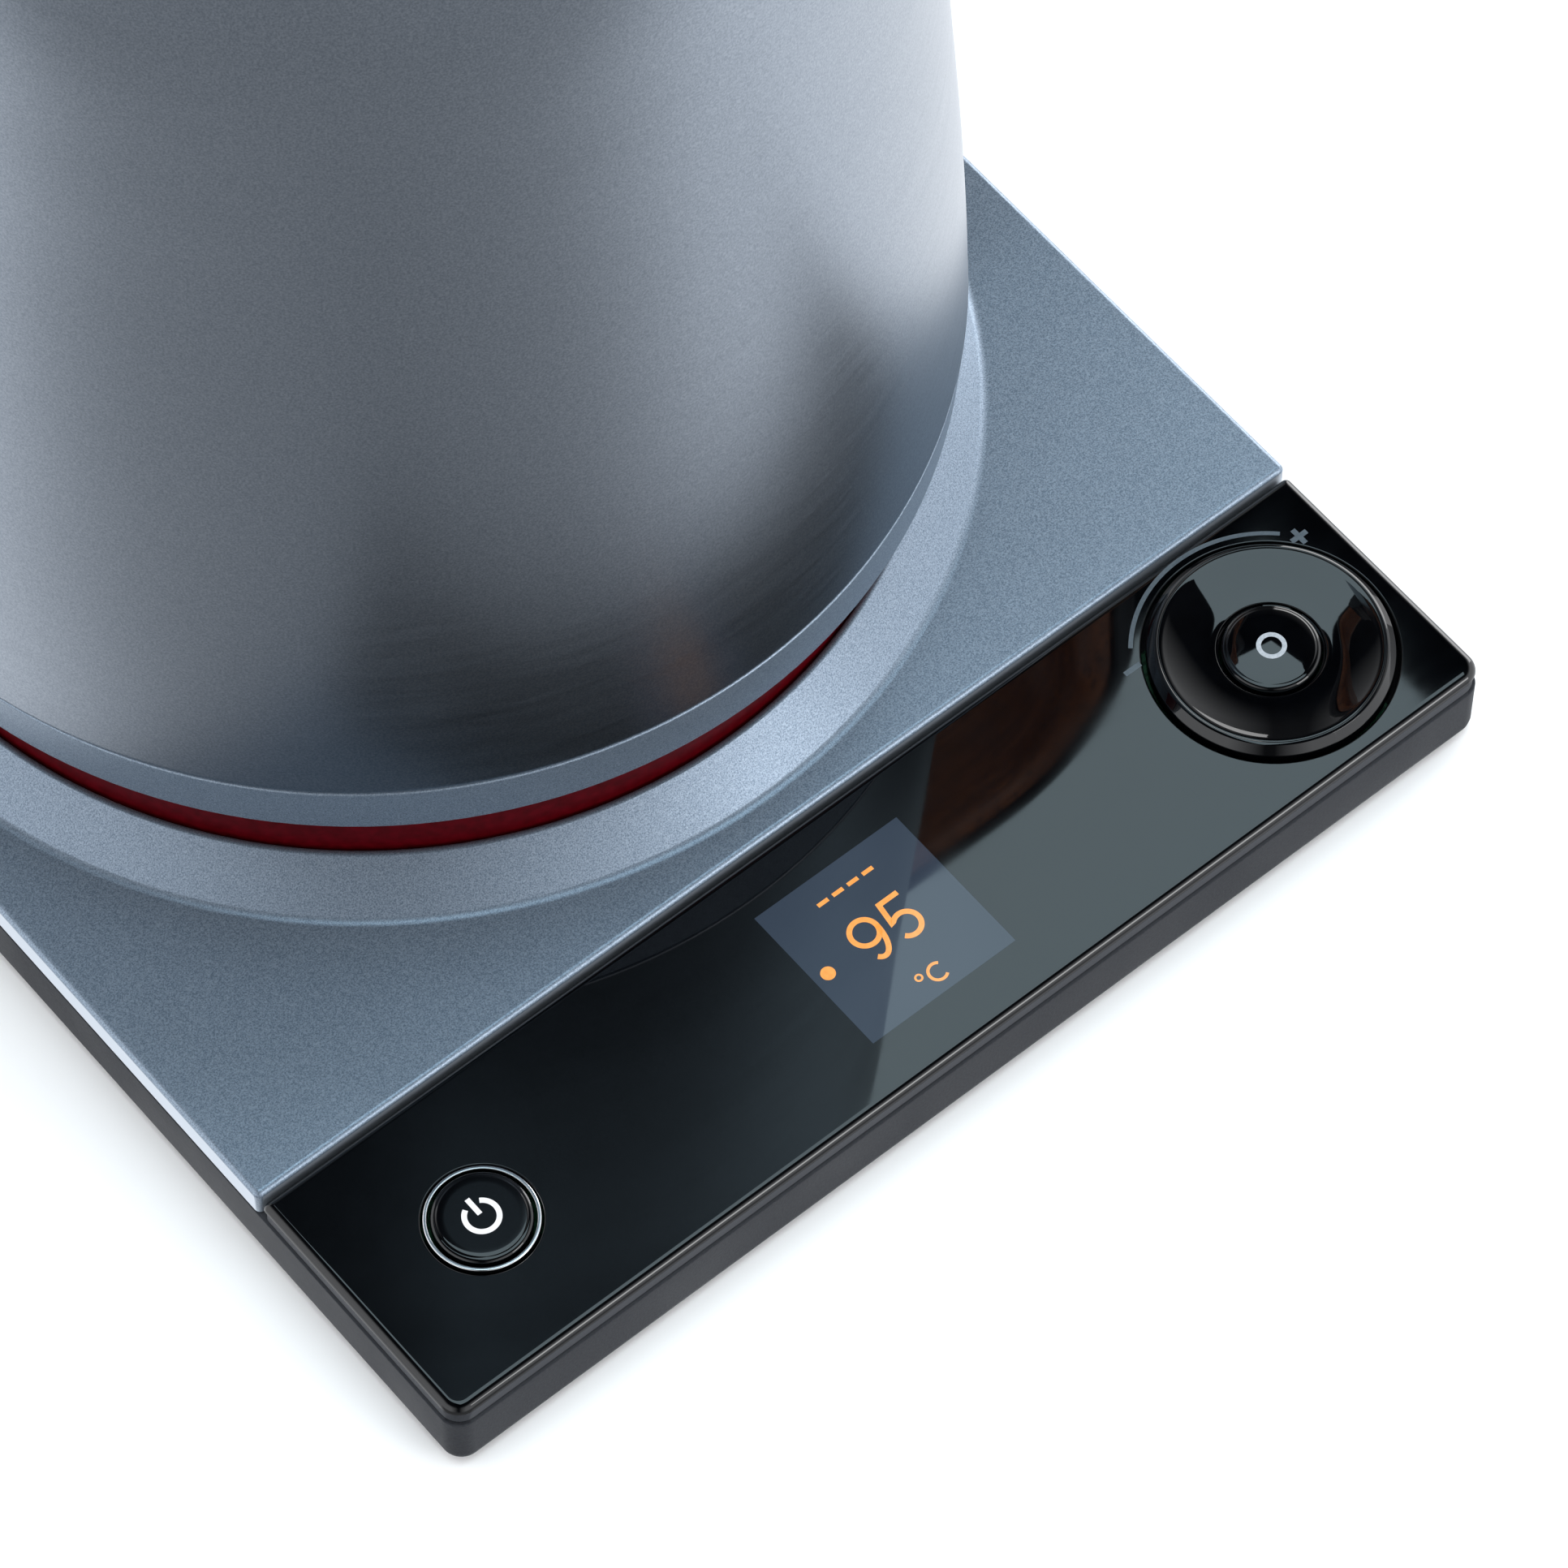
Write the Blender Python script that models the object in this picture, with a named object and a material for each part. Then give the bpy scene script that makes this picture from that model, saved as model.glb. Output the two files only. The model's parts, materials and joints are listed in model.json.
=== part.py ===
"""A variable-temperature electric kettle on its flat power base.

Metres, +Z up. The base rests on z = 0 with its control strip towards -Y, the
spout points to -X and the handle to +X. The origin is the middle of the
object's box on the floor.
"""

import math

import bmesh
import bpy
from mathutils import Matrix, Vector

# --- driving dimensions -------------------------------------------------
BASE_W, BASE_D = 0.1700, 0.2086      # power base, plan
FOOT_STAND = 0.0012                  # how far the rubber feet lift the tray
TRAY_TOP = 0.0106                    # top edge of the lower housing
SEAM = 0.0003                        # visible seam and the gap between touching pieces
PLATE_Z = 0.0155                     # painted top plate
PANEL_Z = 0.01455                    # glossy control panel, just under the plate
STRIP_D = 0.0393                     # depth of the control strip
WALL = 0.0018                        # moulded wall of the base
COVER_ROLL, PANEL_ROLL = 0.0009, 0.0014   # rolled edge of the cover, pillow edge of the panel

HANDLE_REACH = 0.1350                # from the kettle's axis to the outside of the grip
SPOUT_REACH = 0.0980                 # from the kettle's axis to the lip of the spout
SPOUT_ROOT, SPOUT_WALL = 0.0400, 0.0014
AXIS_FROM_FRONT = 0.1237             # the kettle's axis behind the front of the base

PLINTH_R, PLINTH_H = 0.0806, 0.0057  # sloping ring the kettle stands in
RECESS_R, RECESS_Z = 0.0723, 0.0187  # the round recess inside that ring
SEAT_TOP = 0.0270                    # top of the red seat ring

DIAL_X, CONTROL_Y = 0.0651, 0.0196   # control centres: from mid-width, and behind the front
DIAL_HOLE_R, DIAL_R = 0.0168, 0.0162
DIAL_RIM_R, DIAL_RIM_Z = 0.01515, 0.0164
DIAL_DISH_R = 0.0073
DIAL_BUTTON_R, DIAL_BUTTON_TOP_R = 0.0065, 0.0059
POWER_RING_R, POWER_RING_IN_R = 0.0074, 0.0069
POWER_CAP_R, POWER_TOP_R = 0.00645, 0.00585
DISPLAY_SIDE = 0.0226
SWITCH_TOP = 0.0076                  # plunger height of the two tact switches

FOOT_RING_Z, SHELL_Z, SHELL_TOP = 0.0334, 0.0429, 0.1935
SHELL_WALL = 0.0012
COLLAR_TOP = 0.1960
MOUTH_CUT_TOP = 0.2005               # flat top of the cut for the spout through shell and collar
LID_TOP = 0.2260
MOUTH_R = 0.0610                     # the opening in the collar
LID_CUT_X = 0.0420                   # the lid ends here, in front of the handle root
PIVOT_X, PIVOT_Z = 0.0500, 0.2190    # lid hinge axis, from the kettle's axis
LATCH_Z, BOLT_X = 0.2030, 0.0526     # lid bolt: height, and its middle from the kettle's axis
HANDLE_W, HANDLE_T = 0.0200, 0.0130  # grip section
HANDLE_TOP = 0.2285
HANDLE_FOOT_Z = 0.0880               # where the handle comes back to the shell
HANDLE_START_X, HANDLE_END_X = 0.0786, 0.0835   # ends of the grip: at the root, and at the foot
HANDLE_BEND, HANDLE_FOOT_BEND = 0.0220, 0.0180  # radii of its two bends
HANDLE_LEAN = 0.0060                 # how far the lower bend stands back from the upper one
TOP_TURN, FOOT_TURN = 95, 80         # degrees turned through by the two bends
LINER_R, LINER_Z = 0.0570, 0.1900    # plug under the lid: radius and underside
LINER_FLANGE_R, LINER_FLANGE_Z = 0.0590, 0.1945
RELEASE_X = 0.0620                   # lid release button on the handle root

AXIS = Vector(((SPOUT_REACH - HANDLE_REACH) / 2, AXIS_FROM_FRONT - BASE_D / 2, 0))
FRONT_Y = -BASE_D / 2
STRIP_Y = FRONT_Y + STRIP_D
DIAL_AT = Vector((AXIS.x + DIAL_X, FRONT_Y + CONTROL_Y, 0))
POWER_AT = Vector((AXIS.x - DIAL_X, FRONT_Y + CONTROL_Y, 0))

# Outside of the kettle, radius by height: nearly straight, then a domed shoulder.
BODY_CURVE = (
    (0.0429, 0.0773), (0.0580, 0.0767), (0.0725, 0.0759), (0.1005, 0.0739), (0.1205, 0.0723),
    (0.1395, 0.0708), (0.1595, 0.0695), (0.1805, 0.0679), (0.1960, 0.0651), (0.2050, 0.0620),
    (0.2120, 0.0580), (0.2175, 0.0520), (0.2215, 0.0430), (0.2245, 0.0290), (0.2260, 0.0),
)

FINE, ROUND, SMALL, TINY = 48, 28, 16, 10   # steps round a circle


# --- helpers ------------------------------------------------------------
def clear_scene():
    for obj in list(bpy.data.objects):
        bpy.data.objects.remove(obj, do_unlink=True)


def material(name, colour, roughness, metallic=0.0):
    made = bpy.data.materials.new(name)
    made.use_nodes = True
    shader = made.node_tree.nodes["Principled BSDF"]
    shader.inputs["Base Color"].default_value = (*colour, 1)
    shader.inputs["Roughness"].default_value = roughness
    shader.inputs["Metallic"].default_value = metallic
    made.diffuse_color = (*colour, 1)
    return made


def add(name, bm, mat):
    """An object from a bmesh, with its faces turned outward."""
    bmesh.ops.remove_doubles(bm, verts=bm.verts, dist=1e-6)
    bmesh.ops.recalc_face_normals(bm, faces=bm.faces)
    mesh = bpy.data.meshes.new(name)
    bm.to_mesh(mesh)
    bm.free()
    obj = bpy.data.objects.new(name, mesh)
    bpy.context.scene.collection.objects.link(obj)
    if mat:
        mesh.materials.append(mat)
    return obj


def quarter_roll(radius, top, angles):
    """(inset, z) layers of a plate whose top edge rolls over with this radius."""
    return [(radius * (1 - math.cos(math.radians(a))), top - radius * (1 - math.sin(math.radians(a))))
            for a in angles]


def revolve(name, profile, centre, mat=None, steps=ROUND):
    """A solid of revolution about a vertical line: profile is a closed (radius, z) outline."""
    bm = bmesh.new()
    rings = []
    for radius, z in profile:
        if radius < 1e-6:
            rings.append([bm.verts.new((centre.x, centre.y, z))])
            continue
        ring = []
        for i in range(steps):
            turn = 2 * math.pi * i / steps
            ring.append(bm.verts.new((centre.x + radius * math.cos(turn),
                                      centre.y + radius * math.sin(turn), z)))
        rings.append(ring)
    for a, b in zip(rings, rings[1:] + rings[:1]):
        for i in range(steps):
            j = (i + 1) % steps
            corners = [a[i % len(a)], a[j % len(a)], b[j % len(b)], b[i % len(b)]]
            face = list(dict.fromkeys(corners))
            if len(face) > 2:
                bm.faces.new(face)
    return add(name, bm, mat)


def loft(name, sections, mat=None):
    """A solid through closed sections with the same number of points."""
    bm = bmesh.new()
    loops = [[bm.verts.new(point) for point in section] for section in sections]
    for a, b in zip(loops, loops[1:]):
        for i in range(len(a)):
            j = (i + 1) % len(a)
            bm.faces.new((a[i], a[j], b[j], b[i]))
    bm.faces.new(loops[0][::-1])
    bm.faces.new(loops[-1])
    return add(name, bm, mat)


def rounded_rect(x0, x1, y0, y1, radii, z, steps=5):
    """Outline at height z; radii are for the (x0,y0), (x1,y0), (x1,y1), (x0,y1) corners."""
    points = []
    corners = ((x0, y0, 1, 1), (x1, y0, -1, 1), (x1, y1, -1, -1), (x0, y1, 1, -1))
    for k, ((x, y, sx, sy), radius) in enumerate(zip(corners, radii)):
        for i in range(steps + 1):
            turn = math.radians(180 + 90 * k + 90 * i / steps)
            points.append((x + sx * radius + radius * math.cos(turn),
                           y + sy * radius + radius * math.sin(turn), z))
    return points


def plate(name, span, radii, layers, mat=None, steps=5):
    """A rounded plate: span is (x0, x1, y0, y1), and each layer is (inset, z)."""
    x0, x1, y0, y1 = span
    return loft(name, [
        rounded_rect(x0 + i, x1 - i, y0 + i, y1 - i, [max(r - i, 1e-4) for r in radii], z, steps)
        for i, z in layers], mat)


def block(name, centre, size, z0, mat=None, edge=0.0004):
    """An upright block with slightly rounded corners, standing on z0."""
    half_x, half_y = size[0] / 2, size[1] / 2
    span = (centre.x - half_x, centre.x + half_x, centre.y - half_y, centre.y + half_y)
    return plate(name, span, [edge * 2] * 4,
                 [(0, z0), (0, z0 + size[2] - edge), (edge, z0 + size[2])], mat, steps=2)


def rod(name, start, end, radius, mat=None, steps=SMALL):
    """A plain round bar between two points."""
    start, end = Vector(start), Vector(end)
    turn = (end - start).to_track_quat("Z", "Y").to_matrix()
    ring = [turn @ Vector((radius * math.cos(2 * math.pi * i / steps),
                           radius * math.sin(2 * math.pi * i / steps), 0))
            for i in range(steps)]
    return loft(name, [[start + p for p in ring], [end + p for p in ring]], mat)


def coil(name, centre, radius, wire, rise, turns, turn_axis, mat, per_turn=14, sides=5):
    """A helical spring along turn_axis from centre."""
    frame = Vector(turn_axis).to_track_quat("Z", "Y").to_matrix()
    count = int(turns * per_turn)
    sections = []
    for i in range(count + 1):
        angle = 2 * math.pi * turns * i / count
        out = Vector((math.cos(angle), math.sin(angle), 0))
        middle = out * radius + Vector((0, 0, rise * i / count))
        sections.append([
            centre + frame @ (middle + out * wire * math.cos(2 * math.pi * s / sides)
                              + Vector((0, 0, wire * math.sin(2 * math.pi * s / sides))))
            for s in range(sides)])
    return loft(name, sections, mat)


def boolean(target, tool, operation="DIFFERENCE"):
    tool.hide_render = True
    tool.display_type = "WIRE"
    made = target.modifiers.new(tool.name, "BOOLEAN")
    made.object = tool
    made.operation = operation
    made.solver = "EXACT"
    return target


def pivot(name, at, members):
    """An empty on a joint axis that carries the pieces which move about it."""
    empty = bpy.data.objects.new(name, None)
    empty.location = at
    empty.empty_display_size = 0.01
    bpy.context.scene.collection.objects.link(empty)
    bpy.context.view_layer.update()
    for member in members:
        member.parent = empty
        member.matrix_parent_inverse = empty.matrix_world.inverted()
    return empty


def body_radius(z):
    for (z0, r0), (z1, r1) in zip(BODY_CURVE, BODY_CURVE[1:]):
        if z <= z1:
            return r0 + (r1 - r0) * max(z - z0, 0) / (z1 - z0)
    return 0.0


def body_outline(z0, z1, inset=0.0):
    """(radius, z) points up the outside of the kettle between two heights."""
    between = [z for z, _ in BODY_CURVE if z0 < z < z1]
    return [(max(body_radius(z) - inset, 0), z) for z in [z0, *between, z1]]


def from_axis(x, y=0.0, z=0.0):
    return AXIS + Vector((x, y, z))


# --- materials ----------------------------------------------------------
def materials():
    return {
        "paint": material("blue_grey_paint", (0.105, 0.145, 0.195), 0.42, 0.75),
        "steel": material("satin_steel", (0.46, 0.48, 0.51), 0.34, 1.0),
        "bright": material("bright_steel", (0.72, 0.73, 0.74), 0.18, 1.0),
        "housing": material("charcoal_plastic", (0.040, 0.041, 0.044), 0.62),
        "gloss": material("gloss_black", (0.006, 0.007, 0.009), 0.06),
        "black": material("black_plastic", (0.016, 0.016, 0.018), 0.45),
        "red": material("red_silicone", (0.30, 0.004, 0.014), 0.45),
        "rubber": material("grey_rubber", (0.05, 0.05, 0.05), 0.8),
        "walnut": material("brown_grip", (0.085, 0.030, 0.014), 0.40),
        "board": material("green_board", (0.012, 0.09, 0.04), 0.5),
        "brass": material("contact_brass", (0.72, 0.50, 0.20), 0.28, 1.0),
        "alloy": material("cast_aluminium", (0.62, 0.62, 0.62), 0.5, 1.0),
        "glass": material("display_glass", (0.10, 0.13, 0.18), 0.10),
        "ribbon": material("ribbon_grey", (0.42, 0.42, 0.42), 0.55),
    }


# --- power base ---------------------------------------------------------
BASE_SPAN = (AXIS.x - BASE_W / 2, AXIS.x + BASE_W / 2, FRONT_Y, -FRONT_Y)
COVER_SPAN = (BASE_SPAN[0], BASE_SPAN[1], STRIP_Y, -FRONT_Y)
PANEL_SPAN = (BASE_SPAN[0], BASE_SPAN[1], FRONT_Y, STRIP_Y - SEAM)
CORNER_R, INNER_CORNER_R = 0.0029, 0.0009
TRAY_FLOOR = 0.0032
SCREW_PLACES = [(x, y) for y in (-0.057, 0.096) for x in (-0.074, 0.074)]
FOOT_PLACES = [(x, y) for y in (-0.088, 0.086) for x in (-0.066, 0.066)]


def inset_span(span, by):
    return span[0] + by, span[1] - by, span[2] + by, span[3] - by


def base_tray(mats):
    tray = plate("base_tray", BASE_SPAN, [CORNER_R] * 4,
                 [(0.0009, FOOT_STAND), (0.0002, FOOT_STAND + 0.0006), (0, FOOT_STAND + 0.0014),
                  (0, TRAY_TOP)], mats["housing"])
    hollow = plate("tray_hollow", inset_span(BASE_SPAN, 0.002), [CORNER_R - 0.0015] * 4,
                   [(0, TRAY_FLOOR), (0, TRAY_TOP + 0.005)])
    boolean(tray, hollow)
    for i, (x, y) in enumerate(FOOT_PLACES):
        pocket = revolve(f"foot_pocket_{i}", [(0, 0), (0.0068, 0), (0.0068, 0.0024), (0, 0.0024)],
                         Vector((AXIS.x + x, y, 0)), steps=SMALL)
        boolean(tray, pocket)
    for i, (x, y) in enumerate(SCREW_PLACES):
        place = Vector((AXIS.x + x, y, 0))
        boolean(tray, revolve(f"screw_way_{i}", [(0, 0), (0.0035, 0), (0.0035, 0.0022),
                                                 (0.0017, 0.0022), (0.0017, 0.006), (0, 0.006)],
                              place, steps=TINY))
    inlet_way = rod("inlet_way", (AXIS.x, -FRONT_Y - 0.006, 0.0066),
                    (AXIS.x, -FRONT_Y + 0.003, 0.0066), 0.0031, steps=SMALL)
    return boolean(tray, inlet_way)


def plinth_outline():
    """Top outline of the raised ring, from outside in: a concave foot, a slope, a round crest."""
    crest_z, fillet = PLATE_Z + PLINTH_H, 0.0022
    slope = math.atan2(PLINTH_H, PLINTH_R - RECESS_R - 0.0007)
    points = []
    for i in range(5):
        turn = slope * i / 4
        points.append((PLINTH_R - fillet * math.sin(turn), PLATE_Z + fillet * (1 - math.cos(turn))))
    crest_r, crest_x = 0.0007, RECESS_R + 0.0007
    for i in range(5):
        turn = math.pi / 2 - slope + (math.pi / 2 + slope) * i / 4
        points.append((crest_x + crest_r * math.cos(turn),
                       crest_z - crest_r + crest_r * math.sin(turn)))
    return points


def top_cover(mats):
    edge = quarter_roll(COVER_ROLL, PLATE_Z, (0, 30, 60, 90))
    radii = [INNER_CORNER_R, INNER_CORNER_R, CORNER_R, CORNER_R]
    cover = plate("top_cover", COVER_SPAN, radii, [(0, TRAY_TOP + SEAM), *edge], mats["paint"])
    ring = revolve("plinth_ring", [*plinth_outline(), (RECESS_R, RECESS_Z), (0.012, RECESS_Z),
                                   (0.012, PLATE_Z - 0.001), (PLINTH_R, PLATE_Z - 0.001)],
                   AXIS, steps=FINE)
    boolean(cover, ring, "UNION")
    hollow = plate("cover_hollow", inset_span(COVER_SPAN, WALL), [0.0012] * 4,
                   [(0, TRAY_TOP - 0.002), (0, PLATE_Z - WALL)])
    boolean(cover, hollow)
    vault = revolve("plinth_hollow", [(0, 0.010), (0.0735, 0.010), (0.0735, 0.0150),
                                      (0.0700, RECESS_Z - WALL), (0, RECESS_Z - WALL)],
                    AXIS, steps=FINE)
    boolean(cover, vault)
    for i, (x, y) in enumerate(SCREW_PLACES):
        boolean(cover, revolve(f"pillar_{i}", [(0.0016, 0.0038), (0.0038, 0.0038),
                                               (0.0038, PLATE_Z - 0.0009), (0.0016, PLATE_Z - 0.0009)],
                               Vector((AXIS.x + x, y, 0)), steps=TINY), "UNION")
    well = revolve("connector_well", [(0, 0.012), (0.0193, 0.012), (0.0193, 0.022), (0, 0.022)],
                   AXIS, steps=ROUND)
    return boolean(cover, well)


def control_openings(prefix, dial_r, power_r):
    """Round cutters for the dial and the power button."""
    return [revolve(f"{prefix}_{name}", [(0, 0.008), (radius, 0.008), (radius, 0.020), (0, 0.020)],
                    place, steps=ROUND)
            for name, radius, place in (("dial", dial_r, DIAL_AT), ("power", power_r, POWER_AT))]


def panel_carrier(mats):
    radii = [CORNER_R - 0.0002] * 2 + [INNER_CORNER_R] * 2
    carrier = plate("panel_carrier", inset_span(PANEL_SPAN, 0.0002), radii,
                    [(0, TRAY_TOP + SEAM), (0, 0.01285)], mats["housing"])
    hollow = plate("carrier_hollow", inset_span(PANEL_SPAN, 0.0022), [0.001] * 4,
                   [(0, TRAY_TOP - 0.001), (0, 0.0119)])
    boolean(carrier, hollow)
    for tool in control_openings("carrier", DIAL_HOLE_R + 0.0004, POWER_RING_R + 0.0008):
        boolean(carrier, tool)
    window = DISPLAY_SIDE + 0.006
    return boolean(carrier, block("carrier_window", Vector((AXIS.x, DIAL_AT.y, 0)),
                                  (window, window, 0.006), 0.010))


def control_panel(mats):
    edge = quarter_roll(PANEL_ROLL, PANEL_Z, (22.5, 45, 67.5, 90))
    panel = plate("control_panel", PANEL_SPAN, [CORNER_R] * 2 + [INNER_CORNER_R] * 2,
                  [(0.0002, PANEL_Z - PANEL_ROLL), *edge], mats["gloss"])
    for tool in control_openings("panel", DIAL_HOLE_R, POWER_RING_R + SEAM):
        boolean(panel, tool)
    return panel


def power_trim_ring(mats):
    low, high = 0.0122, PANEL_Z + 0.00045
    return revolve("power_trim_ring", [
        (POWER_RING_IN_R, low), (POWER_RING_R, low), (POWER_RING_R, high - 0.0002),
        (POWER_RING_R - 0.0002, high), (POWER_RING_IN_R + 0.0001, high),
        (POWER_RING_IN_R, high - 0.0001)], POWER_AT, mats["bright"])


def base_electronics(mats):
    """Boards, switches, encoder, relay and supply under the covers."""
    board_z, parts_z = 0.0036, 0.0051
    middle = Vector((AXIS.x, DIAL_AT.y, 0))
    block("control_board", middle, (0.152, 0.030, 0.0012), board_z, mats["board"])
    block("display_module", middle, (DISPLAY_SIDE + 0.004, DISPLAY_SIDE + 0.004, 0.0072), parts_z,
          mats["glass"])
    for name, place in (("dial_switch", DIAL_AT), ("power_switch", POWER_AT)):
        block(name, place, (0.0062, 0.0062, SWITCH_TOP - parts_z), parts_z, mats["black"])
    revolve("dial_encoder", [(0.0087, parts_z), (0.0122, parts_z), (0.0122, 0.0092),
                             (0.0087, 0.0092)], DIAL_AT, mats["black"], SMALL)
    revolve("buzzer", [(0, parts_z), (0.0058, parts_z), (0.0058, 0.0096), (0.0015, 0.0096),
                       (0.0015, 0.0088), (0, 0.0088)], middle + Vector((-0.035, 0, 0)),
            mats["black"], SMALL)
    rear = Vector((AXIS.x, 0.0560, 0))
    block("power_board", rear, (0.090, 0.050, 0.0012), board_z, mats["board"])
    block("power_relay", rear + Vector((-0.026, 0.006, 0)), (0.019, 0.015, 0.0078), parts_z,
          mats["black"])
    block("supply_transformer", rear + Vector((0.024, 0.004, 0)), (0.022, 0.019, 0.0080), parts_z,
          mats["alloy"])
    block("ribbon_cable", Vector((AXIS.x + 0.044, -0.0225, 0)), (0.012, 0.090, 0.0005), 0.0052,
          mats["ribbon"], edge=0.0001)


def base_connector(mats):
    """The round socket in the middle of the recess, its centre pin and its ring contact."""
    revolve("base_connector", [
        (0.0040, 0.0135), (0.0190, 0.0135), (0.0190, 0.0248), (0.0182, 0.0258), (0.0158, 0.0258),
        (0.0150, 0.0250), (0.0150, 0.0160), (0.0088, 0.0160), (0.0088, 0.0150), (0.0040, 0.0150)],
        AXIS, mats["black"])
    revolve("earth_pin", [(0, 0.0110), (0.0026, 0.0110), (0.0026, 0.0250), (0.0020, 0.0262),
                          (0, 0.0266)], AXIS, mats["brass"], SMALL)
    revolve("line_contact", [(0.0050, 0.0153), (0.0060, 0.0153), (0.0060, 0.0215),
                             (0.0050, 0.0215)], AXIS, mats["brass"], SMALL)


def inlet_gland(mats):
    """Where the mains lead enters at the back: a collar through the wall, flanged inside."""
    centre, face = Vector((AXIS.x, 0, 0.0066)), -FRONT_Y
    gland = revolve("inlet_gland", [
        (0.0014, -0.0130), (0.0030, -0.0130), (0.0030, -0.0075), (0.0034, -0.0072),
        (0.0034, -0.0023), (0.0028, -0.0020), (0.0028, 0), (0.0014, 0)],
        Vector((0, 0, 0)), mats["rubber"], TINY)
    gland.data.transform(Matrix.Translation(centre + Vector((0, face, 0)))
                         @ Matrix.Rotation(math.radians(-90), 4, "X"))
    return gland


def feet_and_screws(mats):
    for i, (x, y) in enumerate(FOOT_PLACES, 1):
        revolve(f"foot_{i}", [(0, 0), (0.0060, 0), (0.0065, 0.0005), (0.0065, 0.0021), (0, 0.0021)],
                Vector((AXIS.x + x, y, 0)), mats["rubber"], SMALL)
    for i, (x, y) in enumerate(SCREW_PLACES, 1):
        revolve(f"tray_screw_{i}", [
            (0, 0.0015), (0.0012, 0.0009), (0.0030, 0.0005), (0.0032, 0.0008), (0.0032, 0.0019),
            (0.0013, 0.0019), (0.0013, 0.0110), (0, 0.0118)],
            Vector((AXIS.x + x, y, 0)), mats["bright"], TINY)


# --- controls that move -------------------------------------------------
def temperature_dial(mats):
    low, hub_r, bore_r = 0.0132, 0.0082, DIAL_BUTTON_R + SEAM
    dish = [(DIAL_RIM_R - 0.0005, DIAL_RIM_Z), (0.0136, 0.01590), (0.0115, 0.01545),
            (0.0093, 0.01518), (DIAL_DISH_R, 0.01508)]
    dial = revolve("temperature_dial", [
        (bore_r, 0.0082), (hub_r, 0.0082), (hub_r, low), (DIAL_R, low), (DIAL_R, PANEL_Z + 0.0002),
        (DIAL_R - 0.0003, PANEL_Z + 0.0009), (DIAL_RIM_R + 0.0002, DIAL_RIM_Z - 0.0003),
        (DIAL_RIM_R, DIAL_RIM_Z), *dish, (DIAL_DISH_R - 0.0002, 0.0147),
        (bore_r, 0.0145)], DIAL_AT, mats["gloss"])
    return pivot("dial_axis", DIAL_AT + Vector((0, 0, PANEL_Z)), [dial])


def push_cap(name, place, radius, top_r, top_z, crown, shoulder, mats):
    """A round push button: a stem over the switch and a cap with a rounded shoulder."""
    cap = revolve(name, [
        (0, 0.0087), (0.0025, 0.0087), (0.0025, 0.0124), (radius - 0.0002, 0.0124),
        (radius, 0.0126), (radius, top_z - shoulder), ((radius + top_r) / 2, top_z - shoulder * 0.35),
        (top_r, top_z), (top_r * 0.5, top_z + crown * 0.75), (0, top_z + crown)],
        place, mats["gloss"])
    return pivot(f"{name}_axis", place + Vector((0, 0, top_z)), [cap])


# --- kettle -------------------------------------------------------------
def seat_ring(mats):
    outer, inner = RECESS_R - 0.0003, 0.0668
    ring = revolve("seat_ring", [
        (inner, RECESS_Z + SEAM), (outer, RECESS_Z + SEAM), (outer, SEAT_TOP - 0.0006),
        (outer - 0.0006, SEAT_TOP), (inner + 0.0006, SEAT_TOP), (inner, SEAT_TOP - 0.0006)],
        AXIS, mats["red"], FINE)
    return pivot("turning_axis", AXIS + Vector((0, 0, SEAT_TOP)), [ring])


def spout_loft(name, grow, top):
    """Trough from inside the shell to a round nose under a flat top; grow swells it all round."""
    sections = []
    for share in (0, 0.25, 0.45, 0.62, 0.77, 0.88, 0.955, 0.99, 1):
        reach = SPOUT_ROOT + (SPOUT_REACH + grow - SPOUT_ROOT) * share
        half = 0.0195 * math.sqrt(1 - share ** 2.4) + 0.0022 + grow
        deep = 0.0500 * (1 - share) + 0.0070 * math.sqrt(1 - share ** 8) + 0.0022 + grow
        sections.append([
            from_axis(-reach, half * math.cos(math.pi * k / 10),
                      top - deep * math.sin(math.pi * k / 10) ** 0.85) for k in range(11)])
    return loft(name, sections)


def shell_envelope(name, inset, z0, z1):
    return revolve(name, [*body_outline(z0, z1, inset), (0, z1), (0, z0)], AXIS, steps=FINE)


def kettle_shell(mats):
    outside = body_outline(SHELL_Z, SHELL_TOP)
    inside = body_outline(SHELL_Z, SHELL_TOP, SHELL_WALL)
    shell = revolve("kettle_shell", outside + inside[::-1], AXIS, mats["steel"], FINE)
    return boolean(shell, spout_loft("shell_mouth_cut", -SPOUT_WALL, MOUTH_CUT_TOP))


def spout(mats):
    lip = COLLAR_TOP - 0.0010
    made = spout_loft("spout", 0, lip)
    made.data.materials.append(mats["steel"])
    boolean(made, shell_envelope("spout_root_cut", -SEAM, 0.10, COLLAR_TOP + 0.004))
    channel = spout_loft("spout_channel", -SPOUT_WALL, lip + 0.0008)
    boolean(made, channel)
    return made


def spout_filter(mats):
    """Flat limescale filter frame with slots, standing just inside the spout opening."""
    z0, z1 = 0.1640, 0.1885
    frame = loft("spout_filter", [
        [from_axis(-x, y, z) for x, y, z in ((0.0650, -0.013, z0), (0.0650, 0.013, z0),
                                             (0.0640, 0.013, z1), (0.0640, -0.013, z1))],
        [from_axis(-x, y, z) for x, y, z in ((0.0636, -0.013, z0), (0.0636, 0.013, z0),
                                             (0.0626, 0.013, z1), (0.0626, -0.013, z1))]],
        mats["black"])
    for i in range(5):
        y = (i - 2) * 0.0047
        boolean(frame, block(f"filter_slot_{i}", from_axis(-0.0640, y), (0.010, 0.0034, 0.0190),
                             0.1667))
    return frame


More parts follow.
